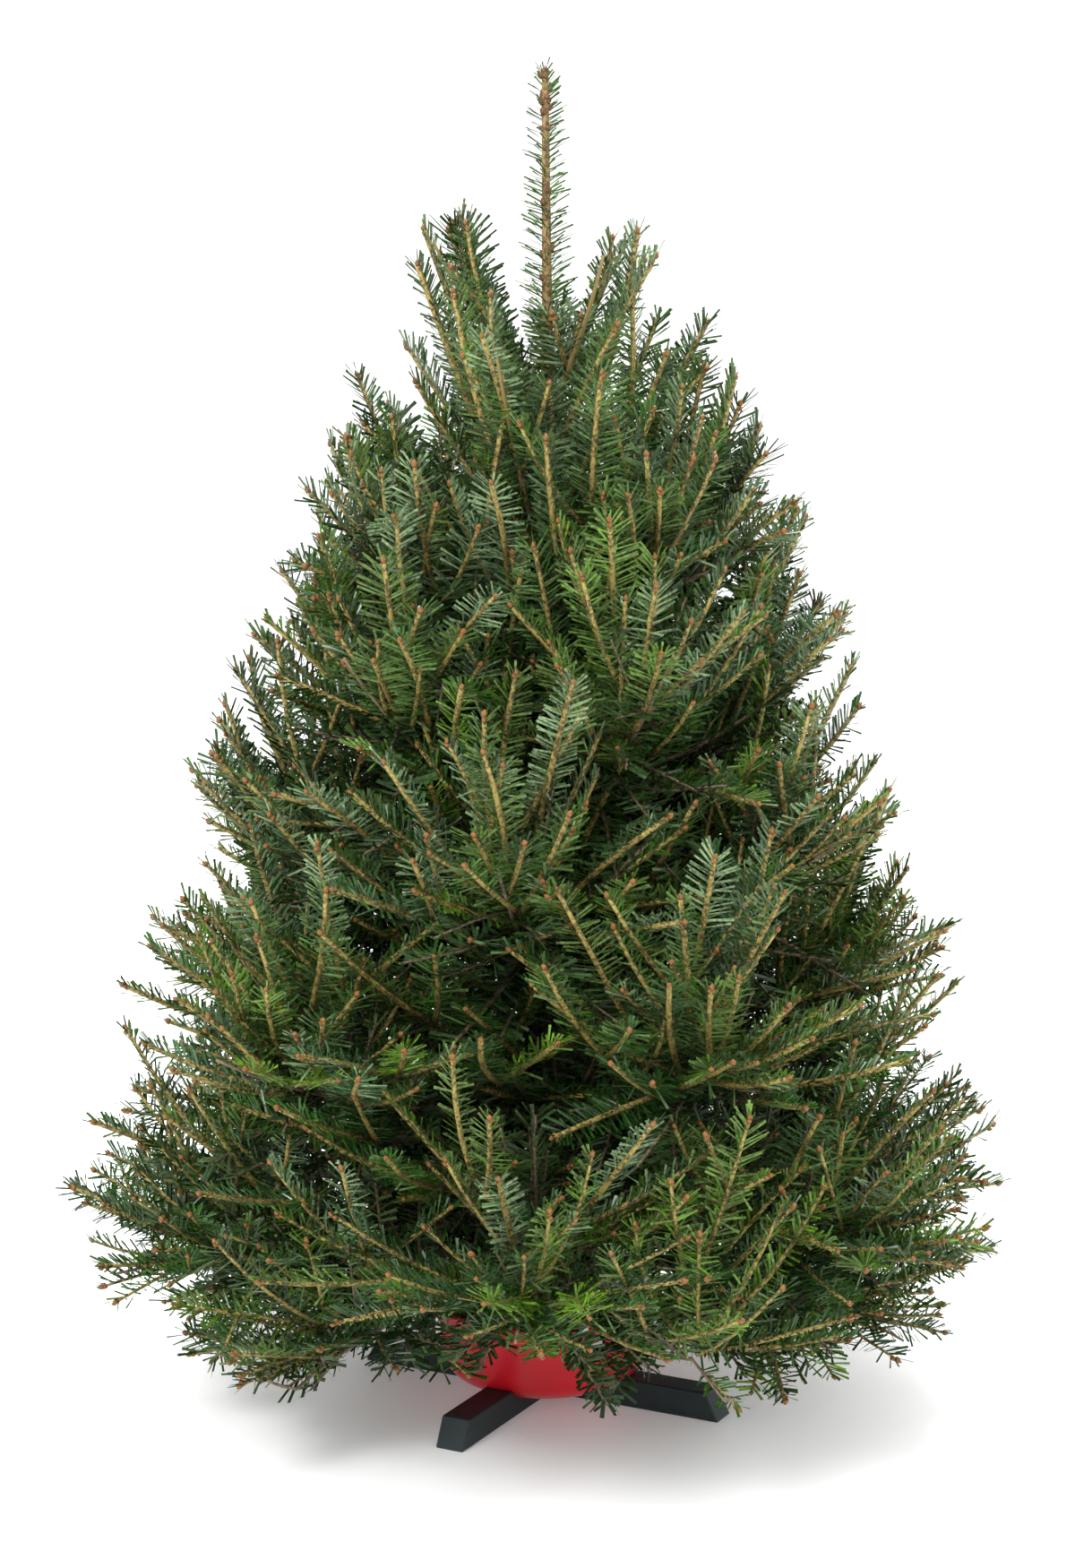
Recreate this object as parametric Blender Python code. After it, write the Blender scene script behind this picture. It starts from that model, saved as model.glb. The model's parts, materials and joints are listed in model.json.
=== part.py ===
"""A cut fir Christmas tree for a table top, standing in a water bowl on two crossed bars.

Metres, +Z up. The origin is on the floor under the middle of the stand, and the viewer's side is -Y.
The trunk is one limb from its flat cut to the foot of the leader. Tiers of boughs leave it, and each
bough ends where its mass of foliage starts. A mass is one stem with toothed sprays of needles fused
on, which grow out to the skin of the crown. The upper tiers are masses that leave the trunk itself.
"""

import math
import random

import bmesh
import bpy
from mathutils import Matrix, Vector
from mathutils.bvhtree import BVHTree

# ---- the tree as a whole
TREE_HEIGHT = 0.920  # floor to the tip of the leader
LEADER_FOOT = 0.760  # where the trunk ends and this year's leader starts
CROWN_RADIUS = 0.326  # at the widest level
CROWN_WIDEST = 0.160  # height of the widest level
CROWN_APEX = 0.900  # height at which the sides of the crown would meet
CROWN_POWER = 0.65  # below 1 makes the sides bulge
CROWN_HEM = 0.190  # how far below the widest level the skin turns in to nothing
CROWN_TOP = 0.828  # where the skin is closed over instead, round the leader
CROWN_CAP = 0.030  # depth over which it closes
CAP_POWER = 0.4
RISE_WIDEST = 8.0  # how steeply shoots stand at the skin, in degrees, at the widest level
RISE_TOP = 58.0  # what they gain over RISE_SPAN above it
RISE_SPAN = 0.61
RISE_POWER = 0.6
DROOP = 43.0  # what they lose over DROOP_SPAN below it
DROOP_SPAN = 0.11
GAP = 0.0003  # left between pieces that touch

# ---- the trunk
TRUNK_CUT = 0.0113  # the flat sawn end, just clear of the bowl's floor
TRUNK_RADIUS = 0.0180
TRUNK_TIP_RADIUS = 0.0042
FLARE_RADIUS = 0.0025  # extra at the butt
FLARE_HEIGHT = 0.045
TRUNK_BOW = 0.003  # how far the trunk wanders from a straight line
TRUNK_SIDES = 12
TRUNK_RINGS = 11

# ---- the tiers, from the lowest up: height on the trunk, boughs, azimuth of the first, rise at the
# trunk, and how much the sprays lift towards the sky
TIERS = (
    (0.100, 6, 22, -1, -0.12),
    (0.134, 6, -8, 2, 0.14),
    (0.205, 5, 28, 13, 0.28),
    (0.285, 5, -8, 23, 0.34),
    (0.375, 5, 28, 33, 0.36),
    (0.472, 4, -55, 43, 0.34),
    (0.572, 3, -20, 52, 0.30),
    (0.684, 3, -92, 52, 0.16),
)
BOUGH_TIERS = 3  # the tiers above these leave the trunk as masses, with no bare limb
LIMB_SHARE = 0.40  # how much of a bough is bare limb
LIMB_SIDES = 6
LIMB_RINGS = 5
LIMB_THICKNESS = 0.019  # a bough's radius at the trunk, for each metre of its length
STEM_RADIUS = 0.0022  # a mass's stem where it starts
STEM_TAPER = 0.62
STEM_END = 0.93  # where the stem is lost in its terminal spray
STEM_RINGS = 5
LIMB_END = 1.25  # a bough's tip is this much thicker than the stem it carries
AZIMUTH_JITTER = 6.0
RISE_JITTER = 4.0
HEIGHT_JITTER = (-0.008, 0.012)
BOUGH_REACH = (0.94, 1.04)  # of the crown's radius
MARCH = 0.004  # the step by which lines are worked out
BEND_POWER = 1.2  # a bough turns to the rise of its shoots mostly towards its tip

# ---- the sprays of needles
SPRAYS = (12, 13, 14, 14, 12, 9, 7, 4)  # tried on each mass of a tier
SPRAY_LONGEST = 0.190
SPRAY_SHORTEST = 0.050
SPRAY_WIDTH = 0.030  # from the twig to the needle tips, on each side
SPRAY_RIDGE = 0.0026  # thickness along the twig
SPRAY_TEETH = 3
SPRAY_FOOT = 0.011  # bare twig at the root
SPRAY_TWIG = 0.0018  # half the bare twig's width
SPRAY_REACH = (0.92, 1.05)  # of the crown's radius
TERMINAL_LONGEST = 0.130
TERMINAL_SHARE = 0.8  # of a short bough
TERMINAL_ROLL = 0.3
FIRST_ROOT = 0.020  # from where the mass starts to its first sprays
LAST_ROOT = 0.070  # from its last sprays to the tip
ROLL_LIMIT = 0.7  # a spray turns about its own twig by no more than this
SPREAD_INNER = 68.0  # angle between a bough and the sprays nearest the trunk
SPREAD_OUTER = 32.0  # and nearest its tip
SPREAD_TOP = 0.55  # the top tier's spread, as a share of the lowest's
SPREAD_JITTER = 6.0
ROLLS = (4, 176, 62, 128, -22, 196, 90)  # places round the stem, from its left side over the top
ROLLS_JITTER = 14.0
STEEPEST = 67.0  # no spray stands more upright than this
TRIM_FROM = 6  # from this tier up sprays end short of the skin, by a share between these
TRIM = (0.70, 1.0)
SHORTENED = (1.0, 0.8, 0.6)  # lengths that are tried for a spray that would touch something
ROOT_SINK = 0.0006  # how far a spray's root passes the middle of its stem
CLEARANCE = 1.05  # a spray is tested this much larger than it is
SPRAY_FREE = 0.011  # past this much of its root a spray stays clear of its neighbours on the same stem
FLOOR_CLEARANCE = 0.010
TIP_CLEARANCE = 0.012  # more than that, for a spray's middle line
BOWL_ROOM_RADIUS = 0.098  # sprays stay out of the room over the bowl
BOWL_ROOM_HEIGHT = 0.088
HEM = -0.014  # height of the skirt's lower edge at the trunk
HEM_SLOPE = 0.36  # its rise towards the front
HEM_SPREAD = 0.42  # and towards the sides, from this far out
HEM_SPREAD_FROM = 0.15
HEM_ROOM = 0.006  # boughs stay this much above it
WINDOWS = ((-0.066, 0.028, 0.026), (0.067, 0.094, 0.028))  # left, right and lift over the stand
SEED = 58

# ---- the stand
BAR_HALF_LENGTH = 0.140
BAR_WIDTH = 0.021
BAR_HEIGHT = 0.020
BAR_SLANT = 0.010  # the ends lean out by this much towards the floor
BAR_BEVEL = 0.0008
BAR_AZIMUTH = -27.3  # of the bar that points left and right
BOWL_FLOOR = 0.0085  # underside of the bowl
BOWL_BASE_RADIUS = 0.040
BOWL_KNEE_RADIUS = 0.071  # where the curved bottom turns into the wall
BOWL_KNEE_HEIGHT = 0.027
BOWL_RIM_RADIUS = 0.076
BOWL_HEIGHT = 0.068
BOWL_WALL = 0.0025
BOWL_LIP = 0.0030
LIP_DEPTH = 0.0030  # of the lip's outer face
LIP_FOOT = 0.0045  # down to where it meets the wall again
BOWL_SIDES = 32
BOWL_ARC_STEPS = 4
SCREW_RADIUS = 0.0030
SCREW_HEAD_RADIUS = 0.0065
SCREW_HEAD_HEIGHT = 0.0020
SCREW_TOP = 0.058
SCREW_POINT = 0.006  # length of its pointed end
SCREW_SIDES = 12
SCREW_HOLE_GAP = 0.0004
SCREW_FOOT = 0.0058  # underside of the head, which is let into the upper bar under the bowl
NEST_TOP = 0.2  # of the room for the bowl that the bars are cut by
LAP_MARGIN = 0.010  # by which the cutter of a lap passes the bar
SHARP_ANGLE = 35.0  # edges sharper than this stay sharp

# ---- the leader
LEADER_SIDES = 5
LEADER_RADIUS = 0.9  # at its foot, as a share of the trunk's tip
LEADER_TAPER = 0.0006  # lost at each of its rings
LEADER_RINGS = 5
LEADER_TIP = 0.010  # how far its stem stays below the tip of the tree
LEADER_BLADES = ((0.1, 0.012), (math.pi / 2 + 0.1, 0.020))  # roll and foot of its two rows of needles
LEADER_WIDTH = 0.0215
UP = Vector((0, 0, 1))


# ---------------------------------------------------------------- helpers
def clear_scene():
    for obj in list(bpy.data.objects):
        bpy.data.objects.remove(obj)


def material(name, colour, roughness, metallic=0.0):
    made = bpy.data.materials.new(name)
    made.use_nodes = True
    shader = made.node_tree.nodes["Principled BSDF"]
    shader.inputs["Base Color"].default_value = (*colour, 1.0)
    shader.inputs["Roughness"].default_value = roughness
    shader.inputs["Metallic"].default_value = metallic
    return made


def add_object(name, points, faces, finish, smooth=False):
    mesh = bpy.data.meshes.new(name)
    mesh.from_pydata([tuple(p) for p in points], [], faces)
    mesh.materials.append(finish)
    if smooth:
        mesh.shade_smooth()
        mesh.set_sharp_from_angle(angle=math.radians(SHARP_ANGLE))
    obj = bpy.data.objects.new(name, mesh)
    bpy.context.scene.collection.objects.link(obj)
    return obj


def apply_modifiers(obj):
    graph = bpy.context.evaluated_depsgraph_get()
    done = bpy.data.meshes.new_from_object(obj.evaluated_get(graph))
    obj.modifiers.clear()
    obj.data = done


def cut(obj, cutter):
    """Takes the cutter's shape out of obj, and hides the cutter."""
    change = obj.modifiers.new("cut", "BOOLEAN")
    change.operation = "DIFFERENCE"
    change.object = cutter
    cutter.hide_render = True
    cutter.display_type = "WIRE"


def tube(points, radii, sides):
    """Points and faces of a closed limb along a line, with a ring of the given radius at each point."""
    made, faces = [], []
    for i, (point, radius) in enumerate(zip(points, radii)):
        ahead = points[min(i + 1, len(points) - 1)] - points[max(i - 1, 0)]
        left, over = across(ahead)
        for k in range(sides):
            turn = 2 * math.pi * k / sides
            made.append(point + radius * (math.cos(turn) * left + math.sin(turn) * over))
    for i in range(len(points) - 1):
        for k in range(sides):
            a, b = i * sides + k, i * sides + (k + 1) % sides
            faces.append((a, b, b + sides, a + sides))
    last = (len(points) - 1) * sides
    faces.append(tuple(reversed(range(sides))))
    faces.append(tuple(range(last, last + sides)))
    return made, faces


def across(axis):
    """The level direction to the left of an axis, and the one over it."""
    axis = axis.normalized()
    left = UP.cross(axis)
    left = left.normalized() if left.length > 1e-4 else Vector((1, 0, 0))
    return left, axis.cross(left).normalized()


# ---------------------------------------------------------------- the crown's shape
def crown_radius(z):
    """How far the tips of the shoots reach from the trunk at a height."""
    if z >= CROWN_WIDEST:
        share = max(0.0, (CROWN_APEX - z) / (CROWN_APEX - CROWN_WIDEST))
        cap = max(0.0, min(1.0, (CROWN_TOP - z) / CROWN_CAP))
        return CROWN_RADIUS * share**CROWN_POWER * cap**CAP_POWER
    drop = min(1.0, (CROWN_WIDEST - z) / CROWN_HEM)
    return CROWN_RADIUS * math.sqrt(1 - drop * drop)


def shoot_rise(z):
    """The angle above the level at which shoots stand at the crown's skin, in degrees."""
    if z < CROWN_WIDEST:
        return RISE_WIDEST - DROOP * (CROWN_WIDEST - z) / DROOP_SPAN
    return RISE_WIDEST + RISE_TOP * ((z - CROWN_WIDEST) / RISE_SPAN) ** RISE_POWER


def trunk_centre(z):
    share = (z - TRUNK_CUT) / (TREE_HEIGHT - TRUNK_CUT)
    return Vector((TRUNK_BOW * math.sin(3.0 * share), TRUNK_BOW * 0.6 * math.sin(4.2 * share), z))


def trunk_radius(z):
    share = (z - TRUNK_CUT) / (LEADER_FOOT - TRUNK_CUT)
    taper = TRUNK_RADIUS + (TRUNK_TIP_RADIUS - TRUNK_RADIUS) * share**0.9
    flare = FLARE_RADIUS * max(0.0, 1 - (z - TRUNK_CUT) / FLARE_HEIGHT) ** 2
    return taper + flare


# ---------------------------------------------------------------- lines of the boughs
def hem_height(point):
    """The skirt's lower edge, which rises to the front, to the sides and over its windows."""
    least = HEM + HEM_SLOPE * max(0.0, -point.y) + HEM_SPREAD * max(0.0, abs(point.x) - HEM_SPREAD_FROM)
    for low, high, lift in WINDOWS:
        if low < point.x < high and point.y < 0:
            least += lift
    return least


def bough_line(height, azimuth, rise, reach):
    """The middle line of a bough, from the trunk's centre line out to the crown's skin."""
    heading = Vector((math.sin(azimuth), -math.cos(azimuth), 0))
    point = trunk_centre(height)
    line = [point.copy()]
    while math.hypot(point.x, point.y) < crown_radius(point.z) * reach:
        share = math.hypot(point.x, point.y) / crown_radius(point.z)
        angle = math.radians(rise + (shoot_rise(point.z) - rise) * min(1.0, share) ** BEND_POWER)
        point = point + MARCH * (math.cos(angle) * heading + math.sin(angle) * UP)
        point.z += min(MARCH, max(0.0, hem_height(point) + HEM_ROOM - point.z))
        line.append(point.copy())
    return line


def along(line, share):
    """The point at a share of a line's length, and the direction there."""
    place = share * (len(line) - 1)
    i = min(int(place), len(line) - 2)
    point = line[i].lerp(line[i + 1], place - i)
    return point, (line[i + 1] - line[i]).normalized()


def all_boughs():
    """Every bough as a dictionary: its tier, its place in the tier, its line and its own seed."""
    chance = random.Random(SEED)
    found = []
    for tier, (height, count, first, rise, spray_lift) in enumerate(TIERS):
        for k in range(count):
            azimuth = first + 360 * k / count + chance.uniform(-AZIMUTH_JITTER, AZIMUTH_JITTER)
            lift = chance.uniform(-RISE_JITTER, RISE_JITTER)
            step = chance.uniform(*HEIGHT_JITTER)
            reach = chance.uniform(*BOUGH_REACH)
            line = bough_line(height + step, math.radians(azimuth), rise + lift, reach)
            found.append(
                {
                    "tier": tier,
                    "number": k + 1,
                    "azimuth": math.radians(azimuth),
                    "half_sector": math.radians(180 / count + 6),
                    "spray_lift": spray_lift,
                    "line": line,
                    "length": (len(line) - 1) * MARCH,
                    "seed": SEED + 100 * tier + k,
                }
            )
    return found


# ---------------------------------------------------------------- sprays of needles
def over_bowl(point):
    return math.hypot(point.x, point.y) < BOWL_ROOM_RADIUS and point.z < BOWL_ROOM_HEIGHT


def spray_length(start, direction, bough, reach):
    """How far a spray grows before it meets the crown's skin, the hem or the edge of its sector."""
    length = 0.0
    while length < SPRAY_LONGEST:
        tip = start + direction * (length + MARCH)
        turn = math.atan2(tip.x, -tip.y) - bough["azimuth"]
        turn = (turn + math.pi) % (2 * math.pi) - math.pi
        outside = math.hypot(tip.x, tip.y) > crown_radius(tip.z) * reach or abs(turn) > bough["half_sector"]
        if outside or tip.z < FLOOR_CLEARANCE + TIP_CLEARANCE or over_bowl(tip) or tip.z < hem_height(tip):
            break
        length += MARCH
    return length


def levelled(direction):
    """The same way round, but no steeper than the steepest shoots."""
    level = math.hypot(direction.x, direction.y)
    least = math.cos(math.radians(STEEPEST))
    if level >= least:
        return direction
    scale = least / max(level, 1e-6)
    return Vector((direction.x * scale, direction.y * scale, math.sqrt(1 - least * least)))


def spray(start, direction, length, roll, width=SPRAY_WIDTH, grow=1.0):
    """A toothed blade, flat below: the twig is its ridge, the teeth are the needles on both sides."""
    left, over = across(direction)
    turned = Matrix.Rotation(roll, 3, direction)
    left, over = turned @ left, turned @ over

    def place(x, y, z):
        return start + direction * x + left * y * grow + over * z * grow

    bushy = width * min(1.0, 0.72 + length / 0.4)
    step = (length - SPRAY_FOOT) / SPRAY_TEETH
    rim, ridge = [(-ROOT_SINK, 0.0), (SPRAY_FOOT, SPRAY_TWIG)], []
    for i in range(SPRAY_TEETH):
        foot = SPRAY_FOOT + i * step
        last = i == SPRAY_TEETH - 1
        rim.append((foot + step * (0.80 if last else 0.94), bushy * (0.62 if last else 1.0 - 0.10 * i)))
        rim.append((foot + step, 0.0 if last else bushy * 0.40))
        ridge.append(foot + step * 0.45)
    points = [place(x, y, 0) for x, y in rim] + [place(x, -y, 0) for x, y in reversed(rim[1:-1])]
    outline = len(points)
    points += [place(x, 0, SPRAY_RIDGE) for x in ridge]
    faces = [tuple(range(outline))]
    for side in (1, -1):
        ring = [0] + [side * i % outline for i in range(1, len(rim))]
        fans = [(outline, 0, ring[1])]
        for i in range(SPRAY_TEETH):
            apex, foot = outline + i, 1 + 2 * i
            fans += [(apex, ring[foot], ring[foot + 1]), (apex, ring[foot + 1], ring[foot + 2])]
            if i < SPRAY_TEETH - 1:
                fans.append((apex, ring[foot + 2], apex + 1))
        faces += [fan if side < 0 else (fan[0], fan[2], fan[1]) for fan in fans]
    return points, faces


def box_of(points):
    return [min(p[i] for p in points) for i in range(3)] + [max(p[i] for p in points) for i in range(3)]


def boxes_meet(a, b):
    return all(a[i] <= b[i + 3] and b[i] <= a[i + 3] for i in range(3))


class Space:
    """What already stands in the crown, so that a new spray can be kept clear of it."""

    def __init__(self):
        self.taken = []

    def add(self, owner, points, faces):
        self.taken.append((owner, box_of(points), BVHTree.FromPolygons(points, faces)))

    def free(self, owner, points, faces):
        box = box_of(points)
        if box[2] < FLOOR_CLEARANCE:
            return False
        if any(over_bowl(p) for p in points):
            return False
        tree = BVHTree.FromPolygons(points, faces)
        for other, other_box, other_tree in self.taken:
            if other != owner and boxes_meet(box, other_box) and tree.overlap(other_tree):
                return False
        return True


def mass_name(bough):
    return f"foliage_tier{bough['tier'] + 1}_{bough['number']}"


def limb_share(bough):
    """Where a bough's mass starts, as a share of its line."""
    return LIMB_SHARE if bough["tier"] < BOUGH_TIERS else 0.0


def mass_stem(bough):
    """The stem of a mass: it carries a bough on to the crown's skin."""
    start = limb_share(bough) + GAP / bough["length"]
    steps = [i / (STEM_RINGS - 1) for i in range(STEM_RINGS)]
    points = [along(bough["line"], start + (STEM_END - start) * step)[0] for step in steps]
    return tube(points, [STEM_RADIUS * (1 - STEM_TAPER * step) for step in steps], 3)


def spray_plans(bough):
    """Root, direction, length and roll of the sprays of a mass, before anything is in their way."""
    chance = random.Random(bough["seed"])
    line, length, tier = bough["line"], bough["length"], bough["tier"]
    origin, _ = along(line, 1 - min(TERMINAL_LONGEST, TERMINAL_SHARE * length) / length)
    end = line[-1] - origin
    yield origin, end.normalized(), end.length, chance.uniform(-TERMINAL_ROLL, TERMINAL_ROLL)

    narrow = 1 - (1 - SPREAD_TOP) * tier / (len(TIERS) - 1)
    start = limb_share(bough) or trunk_radius(line[0].z) / length
    inner = start + FIRST_ROOT / length
    outer = max(inner, 1 - LAST_ROOT / length)
    count = SPRAYS[tier]
    for j in range(count):
        step = (j + 0.5) / count
        origin, axis = along(line, inner + (outer - inner) * step)
        left, over = across(axis)
        turn = math.radians(ROLLS[j % len(ROLLS)] + chance.uniform(-ROLLS_JITTER, ROLLS_JITTER))
        spread = narrow * (SPREAD_INNER + (SPREAD_OUTER - SPREAD_INNER) * step)
        spread = math.radians(spread + chance.uniform(-SPREAD_JITTER, SPREAD_JITTER))
        out = math.cos(turn) * left + math.sin(turn) * over
        direction = math.cos(spread) * axis + math.sin(spread) * out
        direction = levelled((direction + bough["spray_lift"] * UP).normalized())
        grown = spray_length(origin, direction, bough, chance.uniform(*SPRAY_REACH))
        if tier >= TRIM_FROM:
            grown *= chance.uniform(*TRIM)
        roll = chance.uniform(-ROLL_LIMIT, ROLL_LIMIT)
        yield origin, direction, max(grown, SPRAY_SHORTEST), roll


def mass_sprays(bough, space):
    """The sprays of one mass. One that would touch a limb or another mass is shortened or skipped."""
    owner = mass_name(bough)
    found, own = [], Space()
    for origin, direction, whole_length, roll in spray_plans(bough):
        for length in [whole_length * share for share in SHORTENED]:
            if length < SPRAY_SHORTEST:
                break
            whole = spray(origin, direction, length * CLEARANCE, roll, grow=CLEARANCE)
            beyond = spray(origin + direction * SPRAY_FREE, direction, length - SPRAY_FREE, roll)
            if space.free(owner, *whole) and own.free(None, *beyond):
                grown = spray(origin, direction, length, roll)
                space.add(owner, *grown)
                own.add(owner, *grown)
                found.append(grown)
                break
    return found


def join(name, base, extras, finish, room=None):
    """One closed solid from a stem, less the room of what it meets, and the sprays sunk into it."""
    obj = add_object(name, *base, finish)
    if room:
        cut(obj, room)
        apply_modifiers(obj)
    if extras:
        group = bpy.data.collections.new(name + "_sprays")
        bpy.context.scene.collection.children.link(group)
        parts = []
        for i, (points, faces) in enumerate(extras):
            piece = add_object(f"{name}_spray{i}", points, faces, finish)
            bpy.context.scene.collection.objects.unlink(piece)
            group.objects.link(piece)
            parts.append(piece)
        change = obj.modifiers.new("fuse", "BOOLEAN")
        change.operation = "UNION"
        change.operand_type = "COLLECTION"
        change.collection = group
        change.solver = "MANIFOLD"
        apply_modifiers(obj)
        for piece in parts:
            bpy.data.objects.remove(piece)
        bpy.data.collections.remove(group)
        keep_one_shell(obj)
    return obj


def keep_one_shell(obj):
    """Keeps the shell with the most faces, which fills sealed hollows and drops loose scraps."""
    mesh = bmesh.new()
    mesh.from_mesh(obj.data)
    unseen, shells = set(mesh.faces), []
    while unseen:
        shell, edge_of = set(), [unseen.pop()]
        while edge_of:
            face = edge_of.pop()
            shell.add(face)
            for edge in face.edges:
                for near in edge.link_faces:
                    if near in unseen:
                        unseen.remove(near)
                        edge_of.append(near)
        shells.append(shell)
    shells.sort(key=len)
    for shell in shells[:-1]:
        bmesh.ops.delete(mesh, geom=list(shell), context="FACES")
    mesh.to_mesh(obj.data)
    mesh.free()


# ---------------------------------------------------------------- limbs
def trunk_shape(grow=0.0):
    heights = [TRUNK_CUT, TRUNK_CUT + 0.014, TRUNK_CUT + FLARE_HEIGHT]
    rest = TRUNK_RINGS - len(heights)
    heights += [heights[2] + (LEADER_FOOT - heights[2]) * (i + 1) / rest for i in range(rest)]
    points, faces = [], []
    for z in heights:
        centre, radius = trunk_centre(z), trunk_radius(z) + grow
        for k in range(TRUNK_SIDES):
            turn = 2 * math.pi * k / TRUNK_SIDES
            points.append(centre + radius * Vector((math.cos(turn), math.sin(turn), 0)))
    for i in range(len(heights) - 1):
        for k in range(TRUNK_SIDES):
            a, b = i * TRUNK_SIDES + k, i * TRUNK_SIDES + (k + 1) % TRUNK_SIDES
            faces.append((a, b, b + TRUNK_SIDES, a + TRUNK_SIDES))
    last = len(points) - TRUNK_SIDES
    faces.append(tuple(reversed(range(TRUNK_SIDES))))
    faces.append(tuple(range(last, last + TRUNK_SIDES)))
    return points, faces


def limb_shape(bough):
    """A bare bough from the trunk's middle, which the trunk's room is then cut out of."""
    base = LIMB_THICKNESS * bough["length"]
    shares = [LIMB_SHARE * i / (LIMB_RINGS - 1) for i in range(LIMB_RINGS)]
    points = [along(bough["line"], share)[0] for share in shares]
    radii = [base + (STEM_RADIUS * LIMB_END - base) * share / LIMB_SHARE for share in shares]
    return tube(points, radii, LIMB_SIDES)


# ---------------------------------------------------------------- the stand
def bowl_profile():
    """Radius and height down the outside of the bowl from its rim and back up the inside."""
    lip = BOWL_RIM_RADIUS + BOWL_LIP
    outside = [(lip, BOWL_HEIGHT), (lip, BOWL_HEIGHT - LIP_DEPTH), (BOWL_RIM_RADIUS, BOWL_HEIGHT - LIP_FOOT)]
    outside += bowl_curve(0.0)
    inside = list(reversed(bowl_curve(BOWL_WALL)))
    return outside, inside + [(BOWL_RIM_RADIUS - BOWL_WALL, BOWL_HEIGHT)]


def bowl_curve(inset):
    """The wall's knee and the curved bottom, in from the outer face by the wall's thickness."""
    found = []
    for i in range(BOWL_ARC_STEPS + 1):
        turn = 0.5 * math.pi * i / BOWL_ARC_STEPS
        radius = BOWL_BASE_RADIUS + (BOWL_KNEE_RADIUS - BOWL_BASE_RADIUS) * math.cos(turn)
        height = BOWL_KNEE_HEIGHT - (BOWL_KNEE_HEIGHT - BOWL_FLOOR) * math.sin(turn)
        found.append((radius - inset * math.cos(turn), height + inset * math.sin(turn)))
    return found


def turned(name, profile, finish, sides):
    """A closed round solid from a profile that starts and ends on the axis."""
    mesh = bmesh.new()
    ring = [mesh.verts.new((radius, 0, z)) for radius, z in profile]
    edges = [mesh.edges.new((a, b)) for a, b in zip(ring, ring[1:])]
    round_it = {"axis": UP, "cent": (0, 0, 0), "angle": 2 * math.pi, "steps": sides, "use_merge": True}
    bmesh.ops.spin(mesh, geom=ring + edges, **round_it)
    bmesh.ops.remove_doubles(mesh, verts=mesh.verts, dist=1e-6)
    bmesh.ops.recalc_face_normals(mesh, faces=mesh.faces)
    data = bpy.data.meshes.new(name)
    mesh.to_mesh(data)
    mesh.free()
    data.materials.append(finish)
    data.shade_smooth()
    data.set_sharp_from_angle(angle=math.radians(SHARP_ANGLE))
    obj = bpy.data.objects.new(name, data)
    bpy.context.scene.collection.objects.link(obj)
    return obj


def bar_shape(lap_up):
    """A bar along X with leaning ends, and half its remaining height cut away in the middle."""
    half, lean, side, top = BAR_HALF_LENGTH, BAR_SLANT, BAR_WIDTH / 2, BAR_HEIGHT
    outline = [(-half, 0), (half, 0), (half - lean, top), (lean - half, top)]
    points = [Vector((x, -side, z)) for x, z in outline] + [Vector((x, side, z)) for x, z in outline]
    faces = [(0, 1, 2, 3), (7, 6, 5, 4)] + [(i, i + 4, (i + 1) % 4 + 4, (i + 1) % 4) for i in range(4)]
    middle = BOWL_FLOOR / 2
    reach = BAR_WIDTH / 2 + GAP
    if lap_up:
        return points, faces, (reach, -LAP_MARGIN, middle + GAP / 2)
    return points, faces, (reach, middle - GAP / 2, BAR_HEIGHT + LAP_MARGIN)


def lap_cutter(name, reach, low, high):
    side = BAR_WIDTH / 2 + LAP_MARGIN
    box = [Vector((x, y, z)) for z in (low, high) for y in (-side, side) for x in (-reach, reach)]
    faces = [(0, 2, 3, 1), (4, 5, 7, 6), (0, 1, 5, 4), (2, 6, 7, 3), (1, 3, 7, 5), (0, 4, 6, 2)]
    return add_object(name, box, faces, None)


def make_stand(finishes):
    """The bowl, the bars and the screw. Returns the screw's hole, which the trunk is cut by too."""
    top = SCREW_FOOT + SCREW_HEAD_HEIGHT
    wide, narrow = SCREW_HEAD_RADIUS + SCREW_HOLE_GAP, SCREW_RADIUS + SCREW_HOLE_GAP
    low, shoulder, high = SCREW_FOOT - SCREW_HOLE_GAP, top + SCREW_HOLE_GAP, SCREW_TOP + SCREW_HOLE_GAP
    profile = [(0, low), (wide, low), (wide, shoulder), (narrow, shoulder), (narrow, high), (0, high)]
    hole = turned("screw_hole", profile, finishes["steel"], SCREW_SIDES)

    outside, inside = bowl_profile()
    profile = [(0, BOWL_FLOOR + BOWL_WALL)] + inside + outside + [(0, BOWL_FLOOR)]
    cut(turned("water_bowl", profile, finishes["bowl"], BOWL_SIDES), hole)
    profile = [(0, NEST_TOP), (BOWL_KNEE_RADIUS + GAP, NEST_TOP)] + bowl_curve(-GAP) + [(0, BOWL_FLOOR - GAP)]
    nest = turned("bowl_nest", profile, finishes["bowl"], BOWL_SIDES)

    bars = (("stand_bar_left_right", BAR_AZIMUTH, True), ("stand_bar_front_back", BAR_AZIMUTH + 90, False))
    for name, azimuth, lap_up in bars:
        points, faces, lap = bar_shape(lap_up)
        bar = add_object(name, points, faces, finishes["bars"])
        edge = bar.modifiers.new("edge", "BEVEL")
        edge.width = BAR_BEVEL
        edge.segments = 1
        cutter = lap_cutter(name + "_lap", *lap)
        for piece in (bar, cutter):
            piece.rotation_euler.z = math.radians(azimuth)
        for tool in (cutter, nest, hole):
            cut(bar, tool)

    shank = [(SCREW_RADIUS, top), (SCREW_RADIUS, SCREW_TOP - SCREW_POINT), (0, SCREW_TOP)]
    profile = [(0, SCREW_FOOT), (SCREW_HEAD_RADIUS, SCREW_FOOT), (SCREW_HEAD_RADIUS, top)] + shank
    turned("centre_screw", profile, finishes["steel"], SCREW_SIDES)
    return hole


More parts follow.
